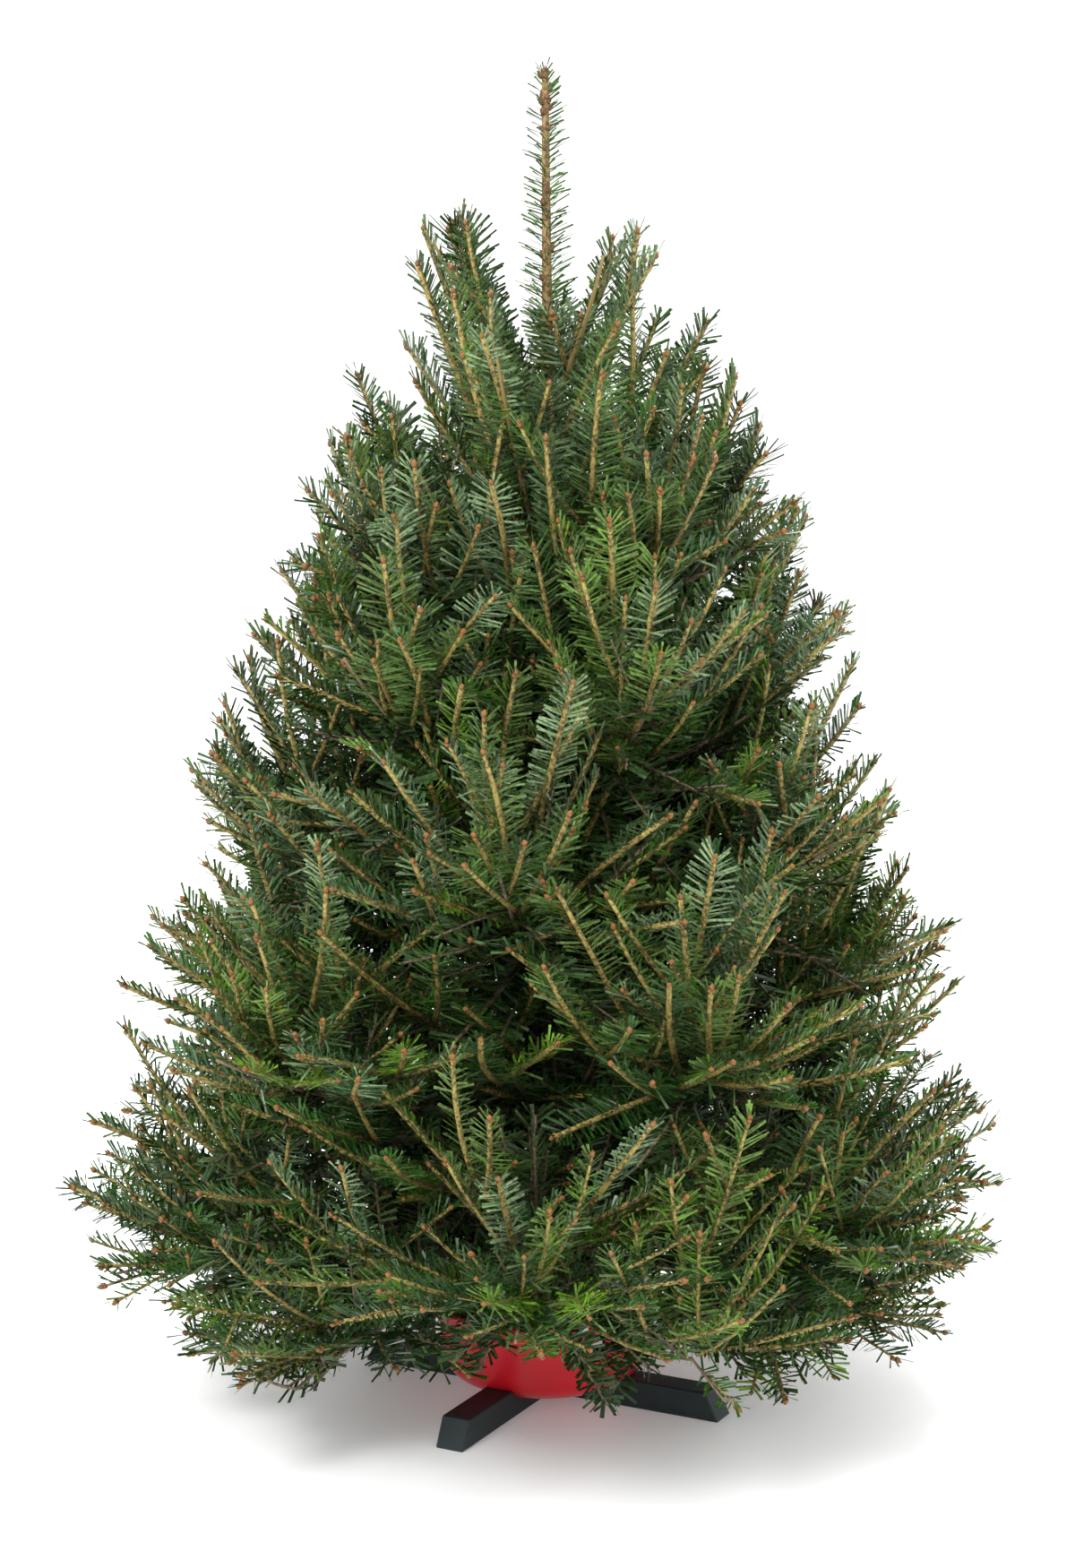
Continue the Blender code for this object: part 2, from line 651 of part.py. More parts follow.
# ---------------------------------------------------------------- the whole tree
def make_leader(finish):
    """This year's leader: a straight shoot with needles all round, short and thin ones near its tip."""
    foot = trunk_centre(LEADER_FOOT) + UP * GAP
    tip = Vector((trunk_centre(TREE_HEIGHT).x, trunk_centre(TREE_HEIGHT).y, TREE_HEIGHT))
    lean = (tip - foot).normalized()
    last = LEADER_RINGS - 1
    line = [foot.lerp(tip, i / last) for i in range(last)] + [tip - UP * LEADER_TIP]
    radii = [TRUNK_TIP_RADIUS * LEADER_RADIUS - LEADER_TAPER * i for i in range(LEADER_RINGS)]
    blades = []
    for roll, low in LEADER_BLADES:
        start = foot + lean * low
        blades.append(spray(start, lean, (tip - start).length, roll, width=LEADER_WIDTH))
    return join("leader_shoot", tube(line, radii, LEADER_SIDES), blades, finish)


def main():
    clear_scene()
    finishes = {
        "bark": material("bark", (0.17, 0.13, 0.095), 0.85),
        "bough_bark": material("bough_bark", (0.20, 0.15, 0.095), 0.8),
        "needles": material("needles", (0.045, 0.10, 0.035), 0.5),
        "leader": material("leader_needles", (0.09, 0.13, 0.045), 0.5),
        "bowl": material("red_bowl", (0.62, 0.02, 0.03), 0.35),
        "bars": material("dark_green_bars", (0.016, 0.028, 0.028), 0.5),
        "steel": material("screw_steel", (0.5, 0.5, 0.5), 0.35, 1.0),
    }
    hole = make_stand(finishes)
    space = Space()
    points, faces = trunk_shape()
    trunk = add_object("trunk", points, faces, finishes["bark"], smooth=True)
    cut(trunk, hole)
    space.add("trunk", points, faces)

    room = add_object("trunk_room", *trunk_shape(GAP / math.cos(math.pi / TRUNK_SIDES)), finishes["bark"])
    boughs = all_boughs()
    for bough in boughs:
        if bough["tier"] < BOUGH_TIERS:
            name = f"bough_tier{bough['tier'] + 1}_{bough['number']}"
            points, faces = limb_shape(bough)
            cut(add_object(name, points, faces, finishes["bough_bark"], smooth=True), room)
            space.add(name, points, faces)
    stems = [mass_stem(bough) for bough in boughs]
    for bough, (points, faces) in zip(boughs, stems):
        space.add(mass_name(bough), points, faces)
    shoot = make_leader(finishes["leader"]).data
    space.add("leader_shoot", [v.co for v in shoot.vertices], [tuple(p.vertices) for p in shoot.polygons])
    for bough, stem in zip(boughs, stems):
        cutter = room if bough["tier"] >= BOUGH_TIERS else None
        join(mass_name(bough), stem, mass_sprays(bough, space), finishes["needles"], cutter)


main()
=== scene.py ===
import json
import math
import random

import bmesh
import bpy
import numpy as np
from mathutils import Matrix, Vector


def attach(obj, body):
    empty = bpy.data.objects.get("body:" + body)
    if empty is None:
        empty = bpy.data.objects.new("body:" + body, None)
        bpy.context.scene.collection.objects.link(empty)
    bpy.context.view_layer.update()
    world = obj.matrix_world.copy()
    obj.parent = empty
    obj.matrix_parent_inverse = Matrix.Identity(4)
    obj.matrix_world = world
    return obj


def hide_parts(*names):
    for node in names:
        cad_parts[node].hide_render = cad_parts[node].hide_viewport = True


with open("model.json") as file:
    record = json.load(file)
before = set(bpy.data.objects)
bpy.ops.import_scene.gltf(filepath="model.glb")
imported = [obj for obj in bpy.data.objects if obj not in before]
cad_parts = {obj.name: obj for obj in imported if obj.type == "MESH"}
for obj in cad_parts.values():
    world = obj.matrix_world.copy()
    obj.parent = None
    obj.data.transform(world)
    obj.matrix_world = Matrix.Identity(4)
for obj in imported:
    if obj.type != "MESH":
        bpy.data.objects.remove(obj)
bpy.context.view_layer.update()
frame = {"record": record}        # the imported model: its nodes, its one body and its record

nodeNames = [entry["node"] for entry in frame["record"]["subparts"]]
foliageNodes = [name for name in nodeNames if name.startswith("foliage") or name == "leader_shoot"]
boughNodes = [name for name in nodeNames if name.startswith("bough")]
up = Vector((0, 0, 1))
print("frame loaded:", len(nodeNames), "nodes")


class Wire:
    # one socket of a material, so that sums of sockets read as sums
    def __init__(self, paint, socket):
        self.paint, self.socket = paint, socket

    def sum(self, operation, first, second):
        return self.paint.node("ShaderNodeMath", 0, {"operation": operation}, {0: first, 1: second})

    def __add__(self, other):
        return self.sum("ADD", self, other)

    def __mul__(self, other):
        return self.sum("MULTIPLY", self, other)

    def __rsub__(self, other):
        return self.sum("SUBTRACT", other, self)

    __radd__ = __add__
    __rmul__ = __mul__


class Paint:
    # a material and the few moves that its nodes are made with
    def __init__(self, name, roughness, **fixed):
        self.material = bpy.data.materials.new(name)
        self.material.use_nodes = True
        self.tree = self.material.node_tree
        self.shader = self.tree.nodes["Principled BSDF"]
        self.shader.inputs["Roughness"].default_value = roughness
        for socket, value in fixed.items():
            self.shader.inputs[socket.replace("_", " ")].default_value = value
        coords = self.tree.nodes.new("ShaderNodeTexCoord")
        self.place = Wire(self, coords.outputs["Object"])

    def node(self, kind, output, settings, inputs):
        # a new node, given as the one output that is used
        made = self.tree.nodes.new(kind)
        for key, value in settings.items():
            if key == "stops":
                self.fillRamp(made.color_ramp, value)
            else:
                setattr(made, key, value)
        for key, value in inputs.items():
            self.feed(made.inputs[key], value)
        return Wire(self, made.outputs[output])

    def fillRamp(self, ramp, stops):
        while len(ramp.elements) < len(stops):
            ramp.elements.new(0.5)
        for element, (place, colour) in zip(ramp.elements, stops):
            element.position = place
            element.color = (*colour, 1)

    def feed(self, socket, value):
        if isinstance(value, Wire):
            self.tree.links.new(value.socket, socket)
        elif isinstance(value, tuple) and len(value) == 3 and len(socket.default_value) == 4:
            socket.default_value = (*value, 1)
        else:
            socket.default_value = value

    def stretched(self, scale):
        return self.node("ShaderNodeMapping", 0, {}, {"Vector": self.place, "Scale": scale})

    def noise(self, scale, detail, roughness=0.55, place=None):
        inputs = {"Vector": place or self.place, "Scale": scale, "Detail": detail, "Roughness": roughness}
        return self.node("ShaderNodeTexNoise", "Fac", {}, inputs)

    def cells(self, scale):
        inputs = {"Vector": self.place, "Scale": scale}
        return self.node("ShaderNodeTexVoronoi", "Distance", {"feature": "F1"}, inputs)

    def ramp(self, factor, stops):
        return self.node("ShaderNodeValToRGB", "Color", {"stops": stops}, {"Fac": factor})

    def mask(self, factor, low, high):
        # 0 below low and 1 above high
        return self.node("ShaderNodeMapRange", 0, {"clamp": True}, {0: factor, 1: low, 2: high})

    def blend(self, factor, first, second):
        return self.node("ShaderNodeMix", 2, {"data_type": "RGBA"}, {0: factor, 6: first, 7: second})

    def colour(self, value):
        self.feed(self.shader.inputs["Base Color"], value)

    def rough(self, value):
        self.feed(self.shader.inputs["Roughness"], value)

    def bump(self, height, strength, distance):
        inputs = {"Height": height, "Strength": strength, "Distance": distance}
        self.feed(self.shader.inputs["Normal"], self.node("ShaderNodeBump", 0, {}, inputs))


# the rule that the tree grows by, in metres and degrees
tree = {
    "height": 0.920, "leaderFoot": 0.760,
    "crownRadius": 0.326, "crownWidest": 0.160, "crownApex": 0.900, "crownPower": 0.65, "crownHem": 0.190,
    "crownTop": 0.828, "crownCap": 0.030, "capPower": 0.4,
    # how steeply shoots rise where the crown is widest, and how that falls below and grows above
    "shootRise": 8, "riseBelow": (43, 0.11), "riseAbove": (58, 0.61, 0.6),
    "trunkCut": 0.0113, "trunkRadius": 0.0180, "trunkTipRadius": 0.0042, "taperPower": 0.9,
    "flareRadius": 0.0025, "flareHeight": 0.045, "trunkBow": 0.003, "bowTurns": (3.0, 4.2), "bowDepth": 0.6,
    # height on the trunk, boughs, azimuth of the first, rise at the trunk, lift of the sprays
    "tiers": (
        (0.100, 6, 22, -1, -0.12), (0.134, 6, -8, 2, 0.14), (0.205, 5, 28, 13, 0.28),
        (0.285, 5, -8, 23, 0.34), (0.375, 5, 28, 33, 0.36), (0.472, 4, -55, 43, 0.34),
        (0.572, 3, -20, 52, 0.30), (0.684, 3, -92, 52, 0.16),
    ),
    "boughTiers": 3, "limbShare": 0.40, "limbThickness": 0.019, "stemRadius": 0.0022,
    "azimuthJitter": 6.0, "riseJitter": 4, "heightJitter": (-0.008, 0.012), "boughReach": (0.94, 1.04),
    "sectorOverlap": 6, "curvePower": 1.2, "march": 0.004, "seed": 58,
}
sprays = {
    "counts": (12, 13, 14, 14, 12, 9, 7, 4), "longest": 0.190, "shortest": 0.050,
    "spreadInner": 68.0, "spreadOuter": 32.0, "spreadTop": 0.55,
    "rolls": (4, 176, 62, 128, -22, 196, 90), "rollLimit": 0.7, "trimFrom": 6, "trim": (0.70, 1.0),
    "endLength": 0.13, "endShare": 0.8, "endRoll": 0.3, "afterLimb": 0.02, "beforeTip": 0.07,
    "turnJitter": 14, "spreadJitter": 6, "reach": (0.92, 1.05),
    "floorClearance": 0.010, "tipRoom": 0.012, "bowlRoomRadius": 0.098, "bowlRoomHeight": 0.088,
    # the hem's height in front of the trunk, its rise to the front and to the sides, and its raised stretches
    "hem": -0.014, "hemSlope": 0.36, "hemSpread": 0.42, "hemSpreadFrom": 0.15, "hemRoom": 0.006,
    "windows": ((-0.066, 0.028, 0.026), (0.067, 0.094, 0.028)), "steepest": 67.0,
}


def crownRadius(z):
    apex, widest = tree["crownApex"], tree["crownWidest"]
    if z >= widest:
        share = max(0.0, (apex - z) / (apex - widest))
        cap = max(0.0, min(1.0, (tree["crownTop"] - z) / tree["crownCap"]))
        return tree["crownRadius"] * share ** tree["crownPower"] * cap ** tree["capPower"]
    drop = min(1.0, (widest - z) / tree["crownHem"])
    return tree["crownRadius"] * math.sqrt(1 - drop * drop)


def shootRise(z):
    above = z - tree["crownWidest"]
    if above < 0:
        fall, depth = tree["riseBelow"]
        return tree["shootRise"] + fall * above / depth
    gain, height, power = tree["riseAbove"]
    return tree["shootRise"] + gain * (above / height) ** power


def trunkCentre(z):
    share = (z - tree["trunkCut"]) / (tree["height"] - tree["trunkCut"])
    bow, (sideways, backwards) = tree["trunkBow"], tree["bowTurns"]
    return Vector((bow * math.sin(sideways * share), bow * tree["bowDepth"] * math.sin(backwards * share), z))


def trunkRadius(z):
    radius, cut = tree["trunkRadius"], tree["trunkCut"]
    share = (z - cut) / (tree["leaderFoot"] - cut)
    taper = radius + (tree["trunkTipRadius"] - radius) * share ** tree["taperPower"]
    return taper + tree["flareRadius"] * max(0.0, 1 - (z - cut) / tree["flareHeight"]) ** 2


def eitherWay(chance, most):
    return chance.uniform(-most, most)


def fromAxis(point):
    return math.hypot(point.x, point.y)


def outAndUp(azimuth, rise):
    # level and away from the trunk, and the same way lifted by the rise
    out = Vector((math.sin(azimuth), -math.cos(azimuth), 0))
    return out, math.cos(rise) * out + math.sin(rise) * up


def across(axis):
    # level and to the left of an axis, and the way over it
    axis = axis.normalized()
    left = up.cross(axis)
    left = left.normalized() if left.length > 1e-4 else Vector((1, 0, 0))
    return left, axis.cross(left).normalized()


def hemHeight(point):
    # the skirt's lower edge rises towards the front and the sides, and over two windows on the stand
    least = sprays["hem"] + sprays["hemSlope"] * max(0.0, -point.y)
    least += sprays["hemSpread"] * max(0.0, abs(point.x) - sprays["hemSpreadFrom"])
    for low, high, lift in sprays["windows"]:
        if low < point.x < high and point.y < 0:
            least += lift
    return least


def boughLine(height, azimuth, rise, reach):
    point = trunkCentre(height)
    line = [point.copy()]
    while fromAxis(point) < crownRadius(point.z) * reach:
        share = fromAxis(point) / crownRadius(point.z)
        angle = math.radians(rise + (shootRise(point.z) - rise) * min(1.0, share) ** tree["curvePower"])
        point = point + tree["march"] * outAndUp(azimuth, angle)[1]
        point.z += min(tree["march"], max(0.0, hemHeight(point) + sprays["hemRoom"] - point.z))
        line.append(point.copy())
    return line


def along(line, share):
    place = share * (len(line) - 1)
    i = min(int(place), len(line) - 2)
    return line[i].lerp(line[i + 1], place - i), (line[i + 1] - line[i]).normalized()


def allBoughs():
    chance = random.Random(tree["seed"])
    found = []
    for tier, (height, count, first, rise, sprayLift) in enumerate(tree["tiers"]):
        for k in range(count):
            azimuth = first + 360 * k / count + eitherWay(chance, tree["azimuthJitter"])
            lift = eitherWay(chance, tree["riseJitter"])
            step = chance.uniform(*tree["heightJitter"])
            reach = chance.uniform(*tree["boughReach"])
            line = boughLine(height + step, math.radians(azimuth), rise + lift, reach)
            found.append({
                "tier": tier, "azimuth": math.radians(azimuth),
                "halfSector": math.radians(180 / count + tree["sectorOverlap"]),
                "sprayLift": sprayLift, "line": line, "length": (len(line) - 1) * tree["march"],
                "seed": tree["seed"] + 100 * tier + k,
            })
    return found


def overBowl(point):
    return fromAxis(point) < sprays["bowlRoomRadius"] and point.z < sprays["bowlRoomHeight"]


def reachLength(start, direction, wanted, reach, bough=None):
    # how far a shoot grows before it meets the crown's skin, the floor's clearance or its sector's edge
    length = 0.0
    while length < wanted:
        tip = start + direction * (length + tree["march"])
        if fromAxis(tip) > crownRadius(tip.z) * reach:
            break
        if tip.z < sprays["floorClearance"] + sprays["tipRoom"] or overBowl(tip) or tip.z < hemHeight(tip):
            break
        if bough:
            turn = math.atan2(tip.x, -tip.y) - bough["azimuth"]
            if abs((turn + math.pi) % (2 * math.pi) - math.pi) > bough["halfSector"]:
                break
        length += tree["march"]
    return length


def levelled(direction):
    # the same way round, but no steeper than the steepest shoots
    level = fromAxis(direction)
    least = math.cos(math.radians(sprays["steepest"]))
    if level >= least:
        return direction
    grow = least / max(level, 1e-6)
    return Vector((direction.x * grow, direction.y * grow, math.sqrt(1 - least * least)))


def massSprays(bough):
    # root, direction, length and roll of each main spray of a mass, drawn as the solids' were
    chance = random.Random(bough["seed"])
    line, length, tier = bough["line"], bough["length"], bough["tier"]
    count = sprays["counts"][tier]
    limb = tree["limbShare"] if tier < tree["boughTiers"] else trunkRadius(line[0].z) / length
    root, _ = along(line, 1 - min(sprays["endLength"], sprays["endShare"] * length) / length)
    end = line[-1] - root
    yield root, end.normalized(), end.length, eitherWay(chance, sprays["endRoll"])
    narrow = 1 - (1 - sprays["spreadTop"]) * tier / (len(tree["tiers"]) - 1)
    inner = limb + sprays["afterLimb"] / length
    outer = max(inner, 1 - sprays["beforeTip"] / length)
    rolls = sprays["rolls"]
    for j in range(count):
        root, axis = along(line, inner + (outer - inner) * (j + 0.5) / count)
        left, over = across(axis)
        turn = math.radians(rolls[j % len(rolls)] + eitherWay(chance, sprays["turnJitter"]))
        spread = sprays["spreadInner"] + (sprays["spreadOuter"] - sprays["spreadInner"]) * (j + 0.5) / count
        spread = math.radians(narrow * spread + eitherWay(chance, sprays["spreadJitter"]))
        out = math.cos(turn) * left + math.sin(turn) * over
        direction = math.cos(spread) * axis + math.sin(spread) * out
        direction = levelled((direction + bough["sprayLift"] * up).normalized())
        reach = chance.uniform(*sprays["reach"])
        grown = reachLength(root, direction, sprays["longest"], reach, bough)
        if tier >= sprays["trimFrom"]:
            grown *= chance.uniform(*sprays["trim"])
        roll = eitherWay(chance, sprays["rollLimit"])
        yield root, direction, max(grown, sprays["shortest"]), roll


# the shoots, which carry the needles
twigs = {
    "forkFrom": 0.080,           # a spray shorter than this stays one shoot
    "growth": (0.100, 0.140),    # length of this year's shoots, which leave a spray in pairs where it starts
    "forkLeast": 0.12, "forkedTiers": 6, "wander": 0.06, "rollShare": 0.6,
    "sideAngle": (32, 48), "sideShare": (0.66, 0.92), "sideLift": (-0.10, 0.30), "sideChance": 0.9,
    "sameTint": 0.6, "lowPairFrom": 0.050, "lowPairAt": 0.4, "lowPairSize": 0.85, "seed": 5000,
    # bend, roll and needle size of a single shoot
    "curve": 0.26, "lift": (-0.3, 1.0), "sway": 0.14, "roll": 0.5, "needleSize": (0.74, 1.06),
    "shortestShoot": 0.034,
    # where shoots end early: the rightmost place, a stretch of the hem, and room on both sides of the leader
    "rightEdge": 0.314, "raisedHem": (-0.135, -0.060, 0.024), "leaderRoom": (0.045, 0.752),
}
innerTwigs = {
    "tiers": 6, "step": 0.0165, "length": (0.070, 0.125), "from": 0.06, "to": 0.74, "reach": 0.80,
    # turns about the bough near the trunk and further out, and the spread from it, in degrees
    "nearTurns": (5, 80, -60), "farTurns": (50, -40), "farFrom": 0.55, "turnJitter": 20, "spread": (45, 75),
    "seed": 9000,
}
trunkTwigs = {
    "from": 0.135, "to": 0.70, "step": 0.0075, "length": (0.080, 0.130), "fullTo": 0.20, "rootDepth": 0.8,
    "turn": 137.5, "riseShare": 0.6, "riseJitter": (-10, 25), "seed": 700,
    "sprigEvery": 2, "sprigTo": 0.56, "sprigLength": (0.14, 0.21), "sprigReach": 0.94,
    "topFrom": 0.60, "topLength": (0.055, 0.095), "topRiseShare": 0.85, "topJitter": 12,
    # height, azimuth, rise, length and reach of long sprigs that stand on the trunk itself
    "lone": (
        (0.140, -50, 10, 0.31, 0.94), (0.152, -24, 14, 0.29, 0.94), (0.168, -38, 17, 0.30, 0.94),
        (0.205, -12, 22, 0.27, 0.94), (0.225, -34, 28, 0.30, 0.94), (0.262, -22, 34, 0.29, 0.94),
        (0.292, -42, 38, 0.28, 0.94), (0.245, -110, 28, 0.27, 0.94), (0.265, -145, 32, 0.27, 0.94),
        (0.118, 92, -4, 0.32, 1.02), (0.112, 86, 11, 0.33, 1.02), (0.150, 94, 20, 0.33, 1.02),
        (0.195, 88, 30, 0.32, 1.03), (0.300, 88, 40, 0.29, 1.0), (0.350, 94, 44, 0.28, 1.05),
        (0.410, 86, 47, 0.27, 1.07), (0.470, 92, 51, 0.26, 1.08), (0.500, 84, 53, 0.25, 1.08),
        (0.665, -90, 50, 0.16, 1.2), (0.640, 80, 60, 0.17, 1.08),
        (0.545, -62, 10, 0.17, 0.94), (0.535, 52, 8, 0.16, 0.94), (0.480, -20, 12, 0.19, 0.94),
        (0.440, 40, 6, 0.20, 0.94), (0.400, -48, 8, 0.22, 0.94), (0.350, 12, 10, 0.24, 0.94),
        (0.200, -143, 24, 0.30, 0.96), (0.170, -155, 24, 0.29, 0.96),
    ),
    "forkedTo": 0.6,
}
needleLook = {
    # needles to a metre of shoot low down and high up, and on shaded and older shoots
    "perMetre": (890, 1170), "innerPerMetre": 480, "oldPerMetre": 700, "fewest": 6, "highAt": 0.60,
    "length": 0.0168, "growsBy": 0.20, "lengthSpread": 0.07, "upperSize": 0.76, "thick": 0.0004,
    "width": 0.0020, "widthSpread": 0.1, "innerWidth": 1.5, "footWidth": 0.62, "headWidth": 0.80,
    # the rows that lie flat to the sides, the others over the twig, and a few all round it
    "cycle": 3, "lateralRows": 2, "lateralTurn": (86, 9), "upperTurn": (4, 66),
    "lateralAngle": 76, "upperAngle": 60, "angleSpread": 5,
    "around": 0.03, "lowAround": 0.12, "lowBelow": 0.16,
    # places along the shoot, and how the needles close and shorten towards its tip and its root
    "unevenness": 0.5, "first": 0.04, "span": 0.97, "closing": 34, "closingFrom": 0.80, "closingOver": 0.20,
    "closingPower": 1.5, "rootSize": 0.75, "rootOver": 0.15, "tipCut": 0.28, "tipFrom": 0.85, "tipOver": 0.15,
    "facing": 0.9, "faceSpread": 0.42, "rootOut": 0.0006, "sweep": 0.13, "arch": 0.04, "seed": 77,
    # shares of the five tints low down and high up, and the most needles in one piece
    # the low shares favour the darkest tint and the high ones the pale bluish tint, partly as painted shade
    # low down and painted light high up
    "lowTints": (0.38, 0.24, 0.04, 0.16, 0.18), "highTints": (0.16, 0.20, 0.44, 0.09, 0.11),
    "most": 45000,
}
shoots = []


def drawTint(z, chance):
    # yellower and darker greens low down, bluer and paler ones near the top: partly the tree's own colours,
    # partly painted shade low down and painted light near the top
    share = min(1.0, z / needleLook["highAt"])
    pairs = zip(needleLook["lowTints"], needleLook["highTints"])
    return chance.choices(range(len(needleTints)), [low + (high - low) * share for low, high in pairs])[0]


def endsEarly(tip):
    # room on either side of the leader, and a stretch where the shoots end higher than their mass
    halfWidth, bottom = twigs["leaderRoom"]
    if abs(tip.x) < halfWidth and tip.z > bottom:
        return True
    low, high, lift = twigs["raisedHem"]
    return low < tip.x < high and tip.y < 0 and tip.z < hemHeight(tip) + lift


def addShoot(start, direction, length, chance, old=False, tint=None, inner=False, reach=1.0):
    direction = direction.normalized()
    grown = reachLength(start, direction, length, reach)
    if direction.x > 0:
        grown = min(grown, (twigs["rightEdge"] - start.x) / direction.x)
    while grown > 0 and endsEarly(start + direction * grown):
        grown -= tree["march"]
    if grown < twigs["shortestShoot"]:
        return
    left, over = across(direction)
    lift = chance.uniform(*twigs["lift"]) * twigs["curve"] * grown
    sway = eitherWay(chance, twigs["sway"])
    shoots.append({
        "start": start, "direction": direction, "length": grown, "old": old, "inner": inner,
        "bend": over * lift + left * grown * sway,
        "tint": drawTint(start.z, chance) if tint is None else tint,
        "roll": eitherWay(chance, twigs["roll"]), "needleSize": chance.uniform(*twigs["needleSize"]),
        "seed": len(shoots),
    })


def growSprig(start, direction, length, roll, chance, forked, reach=1.0):
    left, over = across(direction)
    turn = Matrix.Rotation(roll * twigs["rollShare"], 3, direction)
    left, over = turn @ left, turn @ over
    if length < twigs["forkFrom"] or not forked:
        addShoot(start, direction, length, chance, reach=reach)
        return
    growth = chance.uniform(*twigs["growth"])
    fork = max(twigs["forkLeast"] * length, length - growth)
    knot = start + direction * fork
    tint = drawTint(knot.z, chance)
    addShoot(start, direction, fork, chance, old=True, tint=tint)
    wander = Vector([eitherWay(chance, 1) for axis in "xyz"]) * twigs["wander"]
    addShoot(knot, direction + wander, length - fork, chance, tint=tint, reach=reach)
    pairs = [(knot, 1.0)]
    if fork > twigs["lowPairFrom"]:
        pairs.append((start + direction * fork * twigs["lowPairAt"], twigs["lowPairSize"]))
    for root, size in pairs:
        for side in (1, -1):
            if chance.random() > twigs["sideChance"]:
                continue
            angle = math.radians(chance.uniform(*twigs["sideAngle"]))
            away = math.cos(angle) * direction + math.sin(angle) * side * left
            away = away + over * chance.uniform(*twigs["sideLift"])
            wanted = growth * size * chance.uniform(*twigs["sideShare"])
            addShoot(root, away, wanted, chance, tint=tint if chance.random() < twigs["sameTint"] else None)


def growInner(bough):
    # older shoots close in, where no light comes through the crown
    look = innerTwigs
    chance = random.Random(bough["seed"] + look["seed"])
    place, side = look["from"], 1
    while place < look["to"]:
        root, axis = along(bough["line"], place)
        left, over = across(axis)
        for spin in look["nearTurns"] if place < look["farFrom"] else look["farTurns"]:
            turn = math.radians(spin + eitherWay(chance, look["turnJitter"]))
            out = side * math.cos(turn) * left + math.sin(turn) * over
            spread = math.radians(chance.uniform(*look["spread"]))
            direction = math.cos(spread) * axis + math.sin(spread) * out
            wanted = chance.uniform(*look["length"])
            addShoot(root, direction, wanted, chance, inner=True, reach=look["reach"])
        side = -side
        place += look["step"] / bough["length"]


def onTrunk(z, out):
    return trunkCentre(z) + out * trunkRadius(z) * trunkTwigs["rootDepth"]


def growAtTrunk():
    # small shoots between the whorls, then the long sprigs
    look = trunkTwigs
    chance = random.Random(tree["seed"] + look["seed"])
    z, azimuth, grown = look["from"], 0.0, 0
    while z < look["to"]:
        azimuth += look["turn"]
        rise = shootRise(z) * look["riseShare"] + chance.uniform(*look["riseJitter"])
        out, direction = outAndUp(math.radians(azimuth), math.radians(rise))
        length = chance.uniform(*look["length"]) * min(1.0, crownRadius(z) / look["fullTo"])
        root = onTrunk(z, out)
        if z > look["topFrom"]:
            rise = shootRise(z) * look["topRiseShare"] + eitherWay(chance, look["topJitter"])
            out, direction = outAndUp(math.radians(azimuth), math.radians(rise))
            addShoot(root, direction, chance.uniform(*look["topLength"]), chance, reach=look["sprigReach"])
        elif grown % look["sprigEvery"] == 0 and z < look["sprigTo"]:
            length = reachLength(root, direction, chance.uniform(*look["sprigLength"]), look["sprigReach"])
            growSprig(root, direction, length, 0.0, chance, True)
        else:
            addShoot(root, direction, length, chance, inner=True, reach=innerTwigs["reach"])
        z += look["step"]
        grown += 1
    for z, azimuth, rise, wanted, reach in look["lone"]:
        out, direction = outAndUp(math.radians(azimuth), math.radians(rise))
        root = onTrunk(z, out)
        length = reachLength(root, direction, wanted, reach)
        growSprig(root, direction, length, 0.0, chance, z < look["forkedTo"], reach)


def growTree():
    boughs = allBoughs()
    for bough in boughs:
        chance = random.Random(bough["seed"] + twigs["seed"])
        for root, direction, length, roll in massSprays(bough):
            growSprig(root, direction, length, roll, chance, bough["tier"] < twigs["forkedTiers"])
        if bough["tier"] < innerTwigs["tiers"]:
            growInner(bough)
    growAtTrunk()
    return boughs


def makeMesh(name, points, faces, paints, faceSlots=None, smooth=False):
    # one joined mesh from arrays of points and of same-sided faces
    mesh = bpy.data.meshes.new(name)
    sides = faces.shape[1]
    mesh.vertices.add(len(points))
    mesh.vertices.foreach_set("co", points.astype(np.float32).ravel())
    mesh.loops.add(faces.size)
    mesh.loops.foreach_set("vertex_index", faces.astype(np.int32).ravel())
    mesh.polygons.add(len(faces))
    mesh.polygons.foreach_set("loop_start", np.arange(0, faces.size, sides, dtype=np.int32))
    if faceSlots is not None:
        mesh.polygons.foreach_set("material_index", faceSlots.astype(np.int32))
    mesh.polygons.foreach_set("use_smooth", np.full(len(faces), smooth))
    for paint in paints:
        mesh.materials.append(paint.material)
    mesh.update(calc_edges=True)
    mesh.validate()
    piece = bpy.data.objects.new(name, mesh)
    bpy.context.scene.collection.objects.link(piece)
    return piece


def lineOf(shoot):
    return [np.array(shoot[key]) for key in ("start", "direction", "bend")]


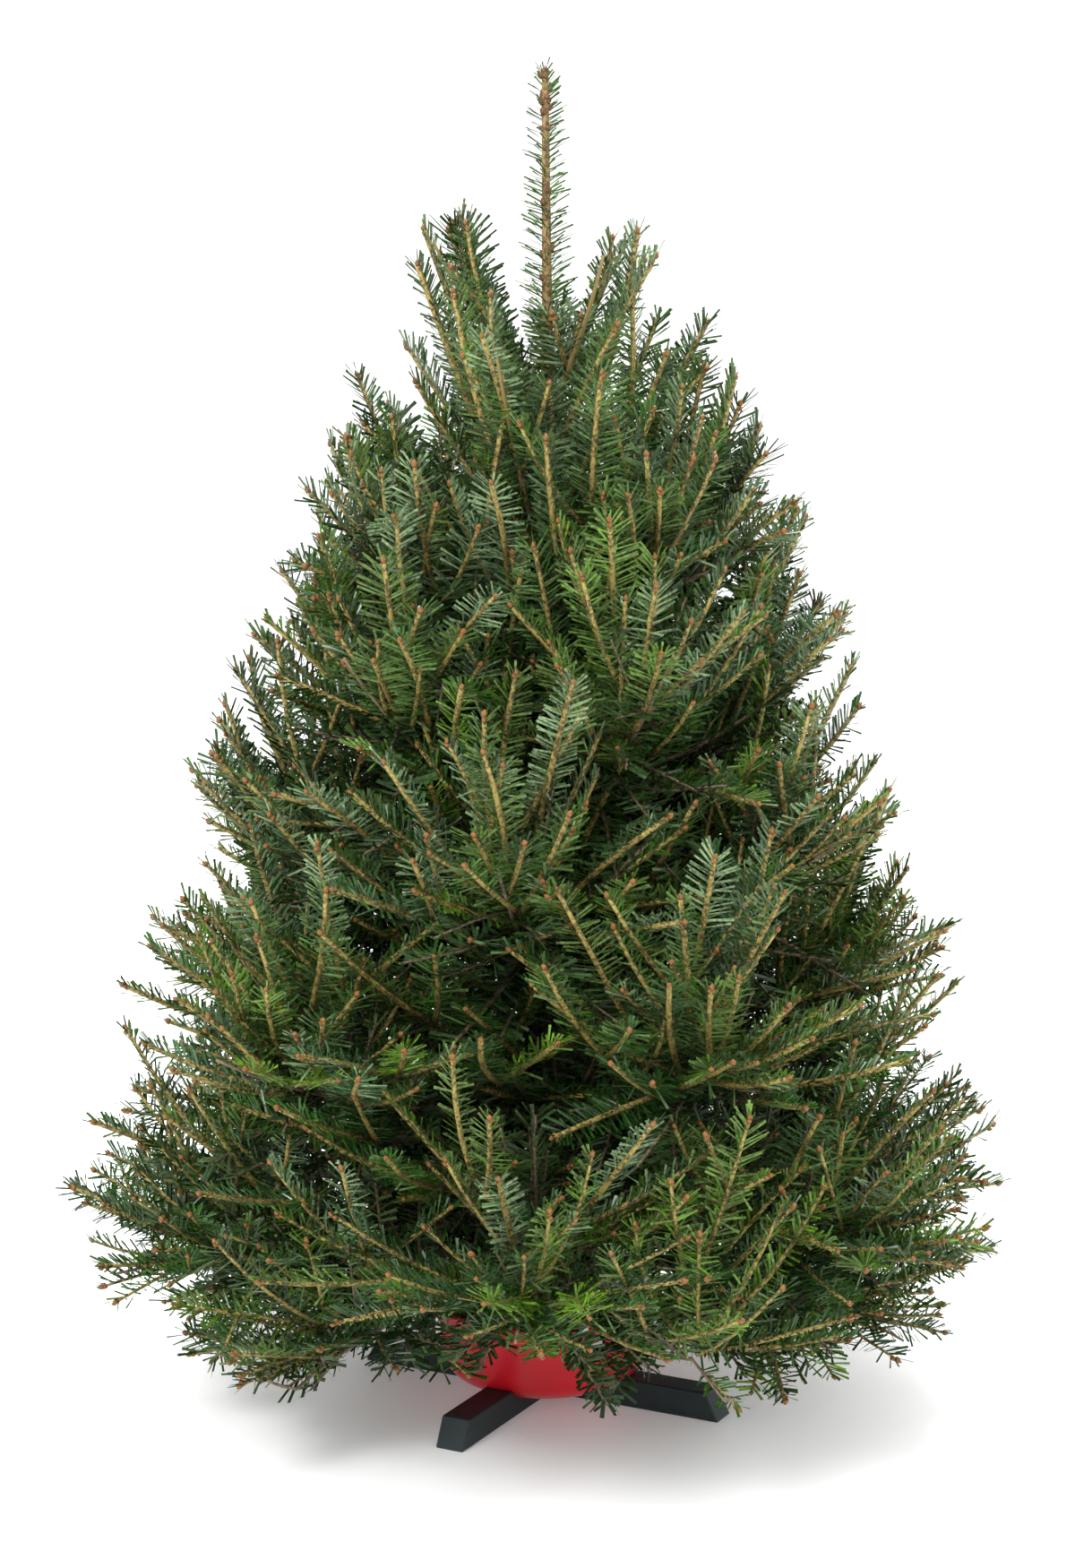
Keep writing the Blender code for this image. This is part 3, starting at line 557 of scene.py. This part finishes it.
def needlesOf(shoot):
    # the corners of each needle of a shoot: two at its root and two at its tip
    look, length = needleLook, shoot["length"]
    draw = np.random.default_rng(shoot["seed"] + look["seed"])
    height = min(1.0, shoot["start"].z / look["highAt"]) ** 2
    low, high = look["perMetre"]
    perMetre = shoot.get("perMetre", low + (high - low) * height)
    if shoot["inner"] or shoot["old"]:
        perMetre = look["innerPerMetre"] if shoot["inner"] else look["oldPerMetre"]
    count = max(look["fewest"], int(length * perMetre))
    order = np.arange(count)
    t = (order + draw.uniform(0.0, look["unevenness"], count)) / count
    t = look["first"] + look["span"] * t ** shoot.get("crowding", 1.0)
    start, direction, bend = lineOf(shoot)
    base = start + np.outer(t, direction * length) + np.outer(t * t, bend)
    tangent = direction * length + 2 * np.outer(t, bend)
    tangent /= np.linalg.norm(tangent, axis=1, keepdims=True)
    turned = Matrix.Rotation(shoot.get("roll", 0.0), 3, shoot["direction"])
    leftward, over = (np.array(turned @ v) for v in across(shoot["direction"]))

    # each needle's turn round the shoot and its tilt from it
    lateral = order // 2 % look["cycle"] < shoot.get("lateralRows", look["lateralRows"])
    side = np.where(order % 2 == 0, 1.0, -1.0)
    flat = draw.normal(*look["lateralTurn"], count)
    raised = draw.uniform(*look["upperTurn"], count)
    phi = side * np.radians(np.where(lateral, flat, raised))
    around = look["lowAround"] if shoot["start"].z < look["lowBelow"] else look["around"]
    loose = draw.random(count) < shoot.get("allRound", around)
    phi = np.where(loose, draw.uniform(-math.pi, math.pi, count), phi)
    tilt = np.where(lateral, look["lateralAngle"], shoot.get("angle", look["upperAngle"]))
    tilt = tilt + draw.normal(0, look["angleSpread"], count)
    nearTip = np.clip((t - look["closingFrom"]) / look["closingOver"], 0, 1)
    tilt = np.radians(tilt - look["closing"] * nearTip ** look["closingPower"])
    outward = np.outer(np.cos(phi), over) + np.sin(phi)[:, None] * leftward
    way = np.cos(tilt)[:, None] * tangent + np.sin(tilt)[:, None] * outward

    # its length, the way that its flat side faces, and its width
    size = look["length"] * shoot["needleSize"] * (1 + look["growsBy"] * height)
    size = size * draw.normal(1.0, look["lengthSpread"], count)
    nearRoot = look["rootSize"] + (1 - look["rootSize"]) * np.clip(t / look["rootOver"], 0, 1)
    size *= np.where(lateral, 1.0, look["upperSize"]) * nearRoot
    cut = look["tipCut"] * np.clip((t - look["tipFrom"]) / look["tipOver"], 0, 1)
    size *= (1 - cut) * (1 - shoot.get("shrink", 0.0) * t)
    face = np.abs(np.sin(phi))[:, None] * over + np.cos(phi)[:, None] * tangent * look["facing"]
    face += draw.normal(0, look["faceSpread"], (count, 3))
    face -= (face * way).sum(1, keepdims=True) * way
    face /= np.linalg.norm(face, axis=1, keepdims=True)
    width = look["width"] * (look["innerWidth"] if shoot["inner"] else shoot.get("slim", 1.0))
    broad = np.cross(way, face) * (width / 2 * draw.normal(1.0, look["widthSpread"], count)[:, None])
    root = base + outward * look["rootOut"]
    end = root + way * size[:, None] + (tangent * look["sweep"] + face * look["arch"]) * size[:, None]
    thick = face * look["thick"] / 2
    foot, head = broad * look["footWidth"], broad * look["headWidth"]
    corners = root + foot + thick, end + head - thick, end - head + thick, root - foot - thick
    return np.stack(corners, axis=1)


stemLook = {"thick": 0.0015, "perLength": 0.0100, "shaded": 0.72, "taper": 0.35}


def stemOf(shoot, sides=4, rings=5):
    # a tapering tube along a shoot
    start, direction, bend = lineOf(shoot)
    left, over = (np.array(v) for v in across(shoot["direction"]))
    t = np.linspace(0, 1, rings)
    slight = stemLook["shaded"] if shoot["inner"] or shoot["start"].z < needleLook["lowBelow"] else 1.0
    thick = (stemLook["thick"] + stemLook["perLength"] * shoot["length"]) * shoot.get("stemSize", slight)
    radius = thick * (1.0 - stemLook["taper"] * t)
    centre = start + np.outer(t, direction * shoot["length"]) + np.outer(t * t, bend)
    turn = np.arange(sides) * 2 * math.pi / sides
    ring = np.outer(np.cos(turn), left) + np.outer(np.sin(turn), over)
    points = (centre[:, None, :] + radius[:, None, None] * ring[None]).reshape(-1, 3)
    tip = centre[-1] + (centre[-1] - centre[-2]) / np.linalg.norm(centre[-1] - centre[-2]) * radius[-1]
    points = np.vstack([points, centre[0], tip])
    faces = []
    for i in range(rings - 1):
        for k in range(sides):
            a, b = i * sides + k, i * sides + (k + 1) % sides
            faces += [(a, b, b + sides), (a, b + sides, a + sides)]
    last = (rings - 1) * sides
    for k in range(sides):
        faces += [(rings * sides, (k + 1) % sides, k), (rings * sides + 1, last + k, last + (k + 1) % sides)]
    return points, np.array(faces)


budLook = {
    "threeShare": 0.6, "size": (0.0018, 0.0024), "endSize": 1.1, "sideSize": 0.85,
    "lean": (0.5, 0.85), "back": (0.001, 0.004), "seed": 991,
    "levels": ((-1.0, 0.0), (-0.45, 0.85), (0.35, 0.90), (1.5, 0.0)),    # height and radius, in sizes
}


def budsOf(shoot):
    # a bud on the tip and, on most shoots, two more close round it
    look = budLook
    draw = np.random.default_rng(shoot["seed"] + look["seed"])
    start, direction, bend = lineOf(shoot)
    end = start + direction * shoot["length"] + bend
    ahead = direction * shoot["length"] + 2 * bend
    ahead /= np.linalg.norm(ahead)
    left, over = (np.array(v) for v in across(shoot["direction"]))
    found = []
    for k in range(3 if draw.random() < look["threeShare"] else 1):
        swing = draw.uniform(0, 2 * math.pi)
        lean = 0.0 if k == 0 else draw.uniform(*look["lean"])
        way = ahead + lean * (math.cos(swing) * left + math.sin(swing) * over)
        way /= np.linalg.norm(way)
        size = draw.uniform(*look["size"]) * (look["endSize"] if k == 0 else look["sideSize"])
        back = 0.0 if k == 0 else draw.uniform(*look["back"])
        found.append((end - ahead * back + way * size, way, size))
    return found


def eggs(placed, sides=4):
    # egg-shaped buds from their centre, long axis and radius
    levels, points, faces = budLook["levels"], [], []
    for centre, way, size in placed:
        left, over = (np.array(v) for v in across(Vector(way)))
        base = len(points)
        points.append(centre + way * size * levels[0][0])
        for height, wide in levels[1:-1]:
            for k in range(sides):
                turn = 2 * math.pi * k / sides
                ring = math.cos(turn) * left + math.sin(turn) * over
                points.append(centre + way * size * height + ring * size * wide)
        points.append(centre + way * size * levels[-1][0])
        end = len(points) - 1
        for k in range(sides):
            a, b = base + 1 + k, base + 1 + (k + 1) % sides
            faces += [(base, b, a), (a, b, b + sides), (a, b + sides, a + sides), (end, a + sides, b + sides)]
    return np.array(points), np.array(faces)


needleTints = (
    # upper side, under side; the pale bluish-grey undersides are partly the needles' own pale bands and
    # partly a painted sheen
    ((0.008, 0.035, 0.003), (0.026, 0.056, 0.012)),
    ((0.019, 0.072, 0.005), (0.044, 0.088, 0.017)),
    ((0.022, 0.068, 0.016), (0.104, 0.156, 0.074)),
    ((0.078, 0.166, 0.009), (0.064, 0.116, 0.020)),
    ((0.042, 0.094, 0.006), (0.052, 0.090, 0.017)),
)


foliagePaint = {
    # size of the patches and flecks, how far they reach, and how much darker and lighter they get: random
    # tone, strong enough that the lighter flecks are painted highlights and the darker ones painted shade
    "patches": 38.0, "flecks": 420.0, "between": (0.38, 0.62), "darker": 0.38, "lighter": 1.9,
    "upperRoughness": 0.30, "upperGloss": 0.5, "underRoughness": 0.50,
    # painted shade: the inner needles get darker greens, partly because older needles are darker and partly
    # as shade painted into the crown's inside
    "shaded": ((0.013, 0.036, 0.006), 0.45), "shadedUnder": ((0.031, 0.055, 0.014), 0.5),
    "golden": ((0.064, 0.047, 0.013), (0.34, 0.262, 0.074)),
    "grey": ((0.055, 0.038, 0.024), (0.15, 0.105, 0.062)),
    "leaderTwig": ((0.085, 0.052, 0.018), (0.28, 0.19, 0.070)),
    "buds": ((0.30, 0.145, 0.044), (0.20, 0.088, 0.026), (0.07, 0.030, 0.012)),
    "leaderBuds": ((0.22, 0.11, 0.045), (0.13, 0.060, 0.030), (0.05, 0.025, 0.014)),
}


def scaled(colour, factor):
    return tuple(min(1.0, c * factor) for c in colour)


def needlePaint(name, colour, roughness, gloss=0.3):
    look = foliagePaint
    paint = Paint(name, roughness, Specular_IOR_Level=gloss)
    patch = paint.noise(look["patches"], 2.0)
    fleck = paint.noise(look["flecks"], 1.0)
    # random tone across the needles; its lighter flecks are painted highlights and its darker ones painted
    # shade between them
    spread = paint.mask(patch * 0.5 + fleck * 0.5, *look["between"])
    paint.colour(paint.blend(spread, scaled(colour, look["darker"]), scaled(colour, look["lighter"])))
    return paint


def twigPaint(name, dark, light):
    paint = Paint(name, 0.62, Specular_IOR_Level=0.35)
    grain = paint.noise(420.0, 3.0)
    patch = paint.noise(45.0, 2.0)
    paint.colour(paint.blend(paint.mask(grain * 0.7 + patch * 0.3, 0.42, 0.58), dark, light))
    paint.bump(grain, 0.35, 0.0004)
    return paint


def budPaint(name, light, middle, dark):
    paint = Paint(name, 0.5, Specular_IOR_Level=0.25)
    scales = paint.cells(900.0)
    paint.colour(paint.ramp(scales, ((0.0, light), (0.55, middle), (1.0, dark))))
    paint.bump(scales, 0.5, 0.0003)
    return paint


def dressFoliage():
    look = foliagePaint
    goldStem = twigPaint("goldenTwig", *look["golden"])
    oldStem = twigPaint("greyTwig", *look["grey"])
    paints = []
    for k, (upper, under) in enumerate(needleTints):
        upperSide = needlePaint(f"needleUpper{k}", upper, look["upperRoughness"], look["upperGloss"])
        paints.append((upperSide, needlePaint(f"needleUnder{k}", under, look["underRoughness"])))
    total = 0
    inner = [shoot for shoot in shoots[:-1] if shoot["inner"]]
    outer = [shoot for shoot in shoots[:-1] if not shoot["inner"]]
    for k in range(len(needleTints)):
        corners = np.concatenate([needlesOf(shoot) for shoot in outer if shoot["tint"] == k])
        total += addNeedles(f"needles_{k + 1}", corners, paints[k])
    corners = np.concatenate([needlesOf(shoot) for shoot in inner])
    # the inner needles' darker greens, partly their own older colour and partly painted shade
    shadedUpper = needlePaint("needleInner", *look["shaded"])
    shaded = shadedUpper, needlePaint("needleInnerUnder", *look["shadedUnder"])
    total += addNeedles("inner_needles", corners, shaded)
    print("needles:", total)
    young = [shoot for shoot in outer if not shoot["old"]]
    old = [shoot for shoot in outer if shoot["old"]]
    joinStems("twigs_of_this_year", young, goldStem)
    joinStems("older_twigs", old + inner, oldStem)
    buds = [bud for shoot in young for bud in budsOf(shoot)]
    points, faces = eggs(buds)
    budScales = budPaint("budScales", *look["buds"])
    addSmooth("buds", points, faces, budScales)
    print("shoots:", len(outer), "and", len(inner), "inner, buds:", len(buds))
    return paints


def addNeedles(name, corners, pair):
    # a needle is a thin strap, with two faces above and two below
    faces = np.array(((0, 1, 2), (0, 2, 3), (0, 3, 1), (3, 2, 1)))
    upper = len(faces) // 2
    most = needleLook["most"]
    for part in range(0, len(corners), most):
        chosen = corners[part:part + most]
        first = np.arange(len(chosen))[:, None, None] * corners.shape[1]
        slots = np.tile(np.repeat(np.array((0, 1)), upper), len(chosen))
        piece = makeMesh(f"{name}_{part // most + 1}", chosen.reshape(-1, 3),
                         (first + faces[None]).reshape(-1, 3), pair, slots)
        finish(piece, foliageNodes)
    return len(corners)


def addSmooth(name, points, faces, paint):
    finish(makeMesh(name, points, faces, [paint], smooth=True), foliageNodes)


def joinStems(name, chosen, paint):
    points, faces, base = [], [], 0
    for shoot in chosen:
        p, f = stemOf(shoot, sides=3, rings=3) if shoot["inner"] else stemOf(shoot)
        points.append(p)
        faces.append(f + base)
        base += len(p)
    addSmooth(name, np.vstack(points), np.vstack(faces), paint)


def finish(piece, nodes):
    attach(piece, "root")
    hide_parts(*nodes)


leader = {
    "below": 0.020, "tipGap": 0.008, "perMetre": 2100, "crowding": 1.35, "allRound": 1.0, "lateralRows": 0,
    "needleSize": 1.38, "shrink": 0.45, "angle": 74, "slim": 0.75, "stemSize": 1.15, "tint": 0, "seed": 9001,
}
leaderBuds = {
    "count": 26, "atTip": 13, "tipShare": 0.16, "lower": (0.15, 0.95), "turn": 2.4, "lean": 0.7,
    "out": 0.0024, "size": (0.0020, 0.0030), "endOut": 0.001, "endSize": 0.0030, "seed": 5,
}


def growLeader():
    # the last of the shoots
    foot = trunkCentre(tree["leaderFoot"] - leader["below"])
    top = trunkCentre(tree["height"])
    tip = Vector((top.x, top.y, tree["height"] - leader["tipGap"]))
    shoots.append({
        "start": foot, "direction": (tip - foot).normalized(), "length": (tip - foot).length,
        "bend": Vector((0, 0, 0)), "old": False, "inner": False, **leader,
    })


def dressLeader(paints, stemPaint):
    shoot = shoots[-1]
    addNeedles("leader_needles", needlesOf(shoot), paints[1])
    points, faces = stemOf(shoot, sides=10, rings=12)
    addSmooth("leader_stem", points, faces, stemPaint)
    look = leaderBuds
    draw = np.random.default_rng(look["seed"])
    placed = []
    for k in range(look["count"]):
        share = 1 - look["tipShare"] * draw.random() if k < look["atTip"] else draw.uniform(*look["lower"])
        turn = k * look["turn"]
        side = np.array((math.cos(turn), math.sin(turn), 0.0))
        size = draw.uniform(*look["size"])
        way = side * look["lean"] + np.array((0, 0, look["lean"]))
        centre = np.array(shoot["start"] + shoot["direction"] * shoot["length"] * share) + side * look["out"]
        placed.append((centre, way, size))
    end = shoot["start"] + shoot["direction"] * (shoot["length"] + look["endOut"])
    placed.append((np.array(end), np.array((0, 0, 1.0)), look["endSize"]))
    points, faces = eggs(placed, sides=8)
    budScales = budPaint("leaderBudScales", *foliagePaint["leaderBuds"])
    addSmooth("leader_buds", points, faces, budScales)


trunkLook = {
    "dark": (0.060, 0.048, 0.038), "light": (0.21, 0.175, 0.135), "young": (0.17, 0.125, 0.045),
    "plates": 90.0, "rings": 120, "sides": 40, "relief": {"height": 0.0016, "grain": 0.006},
    # how far the trunk swells at a whorl, how far above it and how widely, and its room inside the solid
    "whorlSwell": 0.10, "whorlRise": 0.002, "whorlSpan": 0.010, "inset": 0.0006,
}
boughLook = {
    "dark": (0.075, 0.055, 0.038), "light": (0.22, 0.165, 0.105), "young": (0.20, 0.145, 0.045),
    "plates": 130.0, "rings": 20, "sides": 12, "relief": {"height": 0.0007, "grain": 0.004},
    # where a bough starts in the trunk and ends, and its radii and their fall as shares of the stem's
    "rootDepth": 0.4, "end": 0.93, "limbEnd": 1.25, "beyondLimb": (1.2, 0.8), "topBoughs": (1.25, 0.85),
}


def barkPaint(name, look):
    paint = Paint(name, 0.82)
    scale = look["plates"]
    plates = paint.noise(scale, 6.0, 0.62, paint.stretched((1, 1, 0.35)))
    fine = paint.noise(scale * 6, 4.0)
    blister = paint.cells(scale * 1.6)
    spots = 1 - paint.mask(blister, 0.10, 0.22)
    mixed = paint.blend(paint.mask(plates, 0.36, 0.66), look["dark"], look["light"])
    height = paint.node("ShaderNodeSeparateXYZ", "Z", {}, {"Vector": paint.place})
    mixed = paint.blend(paint.mask(height, 0.45, 0.70), mixed, look["young"])    # younger bark high up
    paint.colour(paint.blend(spots * 0.5, mixed, scaled(look["light"], 1.25)))
    paint.bump(plates * 0.5 + fine * 0.25 + spots * 0.35, 0.6, 0.0012)
    return paint


def deselect():
    bpy.ops.object.select_all(action="DESELECT")


def limbPiece(name, points, radii, paint, look):
    # rings extruded along the limb, then given the bark's relief
    deselect()
    first = points[0]
    bpy.ops.mesh.primitive_circle_add(vertices=look["sides"], radius=radii[0], location=first,
                                      fill_type="NGON")
    piece = bpy.context.object
    piece.name = name
    bpy.ops.object.transform_apply(location=True, rotation=True, scale=True)
    facing = (points[1] - points[0]).normalized()
    turned = up.rotation_difference(facing).to_matrix().to_4x4()
    piece.data.transform(Matrix.Translation(first) @ turned @ Matrix.Translation(-first))
    bpy.ops.object.mode_set(mode="EDIT")
    bpy.ops.mesh.select_all(action="SELECT")
    for i in range(1, len(points)):
        ahead = (points[min(i + 1, len(points) - 1)] - points[i - 1]).normalized()
        bpy.ops.mesh.extrude_region_move(TRANSFORM_OT_translate={"value": points[i] - points[i - 1]})
        scale = radii[i] / radii[i - 1]
        bpy.ops.transform.resize(value=(scale, scale, scale), center_override=points[i])
        swing = facing.rotation_difference(ahead)
        if swing.angle > 1e-4:
            axes = swing.axis.to_track_quat("Z", "Y").to_matrix()
            bpy.ops.transform.rotate(value=-swing.angle, orient_axis="Z", orient_type="GLOBAL",
                                     orient_matrix=axes, orient_matrix_type="GLOBAL",
                                     center_override=points[i])
        facing = ahead
    bpy.ops.mesh.select_all(action="SELECT")
    bpy.ops.mesh.normals_make_consistent(inside=False)
    bpy.ops.object.mode_set(mode="OBJECT")
    piece.data.materials.append(paint.material)
    ridges = bpy.data.textures.new(name + "Relief", "CLOUDS")
    ridges.noise_scale = look["relief"]["grain"]
    ridges.noise_depth = 4
    swell = piece.modifiers.new("relief", "DISPLACE")
    swell.texture = ridges
    swell.texture_coords = "LOCAL"
    swell.mid_level = 0.5
    swell.strength = look["relief"]["height"]
    bpy.ops.object.modifier_apply(modifier="relief")
    bpy.ops.object.shade_smooth()
    return piece


def dressTrunk():
    look = trunkLook
    paint = barkPaint("trunkBark", look)
    heights = np.linspace(tree["trunkCut"], tree["leaderFoot"], look["rings"])
    radii = []
    for z in heights:
        offsets = [(z - tier[0] - look["whorlRise"]) / look["whorlSpan"] for tier in tree["tiers"]]
        swell = sum(math.exp(-(offset ** 2)) for offset in offsets)
        radii.append(trunkRadius(z) * (1 + look["whorlSwell"] * swell) - look["inset"])
    points = [trunkCentre(z) for z in heights]
    finish(limbPiece("trunk_bark", points, radii, paint, look), ["trunk"])


def boughRadii(bough, shares):
    # a limb narrows to the stem that goes on from it, and the top boughs are all stem
    stem = tree["stemRadius"]
    if bough["tier"] >= tree["boughTiers"]:
        full, fall = boughLook["topBoughs"]
        return [stem * (full - fall * share) for share in shares]
    last, base = tree["limbShare"], tree["limbThickness"] * bough["length"]
    taper = stem * boughLook["limbEnd"] - base
    full, fall = boughLook["beyondLimb"]
    return [base + taper * s / last if s < last else stem * (full - fall * s) for s in shares]


def dressBoughs(boughs):
    look = boughLook
    paint = barkPaint("boughBark", look)
    pieces = []
    for bough in boughs:
        rootShare = look["rootDepth"] * trunkRadius(bough["line"][0].z) / bough["length"]
        shares = np.linspace(rootShare, look["end"], look["rings"])
        points = [along(bough["line"], share)[0] for share in shares]
        name = f"bough_{bough['tier'] + 1}_{len(pieces) + 1}"
        pieces.append(limbPiece(name, points, boughRadii(bough, shares), paint, look))
    deselect()
    for piece in pieces:
        piece.select_set(True)
    bpy.context.view_layer.objects.active = pieces[0]
    bpy.ops.object.join()
    joined = bpy.context.object
    joined.name = "bough_limbs"
    finish(joined, boughNodes)


bowlLook = {
    "dark": (0.45, 0.005, 0.012), "light": (0.60, 0.009, 0.020),
    "floor": 0.0085, "hole": 0.0035, "baseRadius": 0.040, "kneeRadius": 0.071, "kneeHeight": 0.027,
    "rimRadius": 0.076, "height": 0.068, "wall": 0.0025, "sides": 96, "arcSteps": 12,
    "weld": 0.00002, "smoothTo": 50,
    # the rolled lip: its width, middle and half width out from the rim, and its depths below the top
    "lip": 0.0030, "lipMiddle": 0.00025, "lipHalf": 0.00275, "lipRise": 0.0028, "lipSteps": 6,
    "lipInside": 0.001, "lipTuck": 0.0004, "lipEdge": 0.0038, "lipUnder": 0.0048,
}


def bowlPaint():
    paint = Paint("redPlastic", 0.30, Coat_Weight=0.1, Specular_IOR_Level=0.35)
    cloud = paint.noise(14.0, 2.0)
    grain = paint.noise(650.0, 2.0)
    paint.colour(paint.blend(paint.mask(cloud, 0.35, 0.65), bowlLook["dark"], bowlLook["light"]))
    paint.rough(0.26 + paint.noise(60.0, 3.0) * 0.16)
    paint.bump(grain, 0.10, 0.0002)
    return paint


def bowlArc(inset):
    look, found = bowlLook, []
    for i in range(look["arcSteps"] + 1):
        turn = 0.5 * math.pi * i / look["arcSteps"]
        radius = look["baseRadius"] + (look["kneeRadius"] - look["baseRadius"]) * math.cos(turn)
        height = look["kneeHeight"] - (look["kneeHeight"] - look["floor"]) * math.sin(turn)
        found.append((radius - inset * math.cos(turn), height + inset * math.sin(turn)))
    return found


def dressBowl():
    look = bowlLook
    rim, top = look["rimRadius"], look["height"]
    outline = [(look["hole"], look["floor"] + look["wall"])] + list(reversed(bowlArc(look["wall"])))
    outline.append((rim - look["wall"], top - look["lipInside"]))
    for i in range(look["lipSteps"] + 1):
        turn = math.pi - math.pi * i / look["lipSteps"]
        radius = rim + look["lipMiddle"] + look["lipHalf"] * math.cos(turn)
        outline.append((radius, top - look["lipRise"] + look["lipRise"] * math.sin(turn)))
    outline += [(rim + look["lip"] - look["lipTuck"], top - look["lipEdge"]), (rim, top - look["lipUnder"])]
    outline += bowlArc(0.0) + [(look["hole"], look["floor"])]
    deselect()
    bpy.ops.mesh.primitive_plane_add(size=0.01, location=(0, 0, 0))
    bowl = bpy.context.object
    bowl.name = "water_bowl_moulding"
    shape = bmesh.new()
    rings = [shape.verts.new((radius, 0, height)) for radius, height in outline]
    for a, b in zip(rings, rings[1:]):
        shape.edges.new((a, b))
    shape.edges.new((rings[-1], rings[0]))
    shape.to_mesh(bowl.data)
    shape.free()
    bpy.ops.object.mode_set(mode="EDIT")
    bpy.ops.mesh.select_all(action="SELECT")
    bpy.ops.mesh.spin(steps=look["sides"], angle=2 * math.pi, center=(0, 0, 0), axis=(0, 0, 1))
    bpy.ops.mesh.select_all(action="SELECT")
    bpy.ops.mesh.remove_doubles(threshold=look["weld"])
    bpy.ops.mesh.normals_make_consistent(inside=False)
    bpy.ops.object.mode_set(mode="OBJECT")
    bpy.ops.object.shade_smooth_by_angle(angle=math.radians(look["smoothTo"]))
    bowl.data.materials.append(bowlPaint().material)
    finish(bowl, ["water_bowl"])


standLook = {
    "bars": ((0.004, 0.010, 0.011), (0.010, 0.022, 0.024)), "screw": ((0.42, 0.43, 0.44), (0.62, 0.62, 0.60)),
}


def barPaint():
    paint = Paint("darkGreenPaint", 0.5, Specular_IOR_Level=0.35)
    wear = paint.noise(55.0, 4.0)
    grain = paint.noise(500.0, 3.0)
    paint.colour(paint.blend(paint.mask(wear, 0.30, 0.72), *standLook["bars"]))
    paint.rough(0.42 + wear * 0.2)
    paint.bump(grain, 0.18, 0.0003)
    return paint


def steelPaint():
    paint = Paint("zincPlate", 0.35, Metallic=1.0)
    spangle = paint.noise(300.0, 3.0)
    paint.colour(paint.blend(spangle, *standLook["screw"]))
    paint.rough(0.28 + spangle * 0.2)
    return paint


def dressStand():
    # the bars and the screw keep their solids' own shapes
    dressBowl()
    bars, steel = barPaint(), steelPaint()
    paints = {"stand_bar_left_right": bars, "stand_bar_front_back": bars, "centre_screw": steel}
    for name, paint in paints.items():
        slots = bpy.data.objects[name].data.materials
        slots.clear()
        slots.append(paint.material)


view = {
    "distance": 2.2, "height": 0.801, "pitch": 9.48, "side": -0.0046, "lens": 74.4, "sensor": 36,
    "clip": (0.05, 60),
}
studio = {
    "floor": (0.92, 0.92, 0.925), "floorGlow": 0.13, "floorRadius": 14, "floorCentre": (0, 6, 0),
    "world": 1.29,
    # place of each light, the point that it faces, its size and its power
    "lights": {
        "keyLight": ((-1.3, -1.9, 2.2), (0, 0, 0.45), 1.0, 68.0),
        "fillLight": ((1.9, -1.2, 1.3), (0, 0, 0.4), 1.2, 14.0),
        "topLight": ((0.3, 0.9, 2.3), (0, 0, 0.5), 1.2, 56.0),
    },
}


def areaLight(name, place, target, size, power):
    lamp = bpy.data.lights.new(name, "AREA")
    lamp.shape = "DISK"
    lamp.size = size
    lamp.energy = power
    made = bpy.data.objects.new(name, lamp)
    bpy.context.scene.collection.objects.link(made)
    made.location = place
    made.rotation_euler = (Vector(target) - Vector(place)).to_track_quat("-Z", "Y").to_euler()


def dressStudio():
    scene = bpy.context.scene
    camera = bpy.data.objects.new("camera", bpy.data.cameras.new("camera"))
    scene.collection.objects.link(camera)
    camera.data.sensor_width = view["sensor"]
    camera.data.lens = view["lens"]
    camera.location = (view["side"], -view["distance"], view["height"])
    camera.rotation_euler = (math.radians(90 - view["pitch"]), 0, 0)
    camera.data.clip_start, camera.data.clip_end = view["clip"]
    scene.camera = camera
    scene.view_settings.view_transform = "Standard"

    deselect()
    bpy.ops.mesh.primitive_circle_add(vertices=64, radius=studio["floorRadius"], fill_type="NGON",
                                      location=studio["floorCentre"])
    floor = bpy.context.object
    floor.name = "studio_floor"
    paint = Paint("paleFloor", 0.45, Emission_Color=(1, 1, 1, 1), Emission_Strength=studio["floorGlow"])
    paint.colour(studio["floor"])
    floor.data.materials.append(paint.material)

    world = bpy.data.worlds.new("studioSky")
    world.use_nodes = True
    sky = world.node_tree.nodes["Background"].inputs
    sky["Color"].default_value = (1, 1, 1, 1)
    sky["Strength"].default_value = studio["world"]
    scene.world = world
    for name, (place, target, size, power) in studio["lights"].items():
        areaLight(name, place, target, size, power)


dressStudio()
print("camera, floor and light set")
boughs = growTree()
growLeader()
needlePaints = dressFoliage()
dressLeader(needlePaints, twigPaint("leaderTwig", *foliagePaint["leaderTwig"]))
print("foliage grown")
dressTrunk()
dressBoughs(boughs)
print("bark laid on trunk and boughs")
dressStand()
print("stand finished")
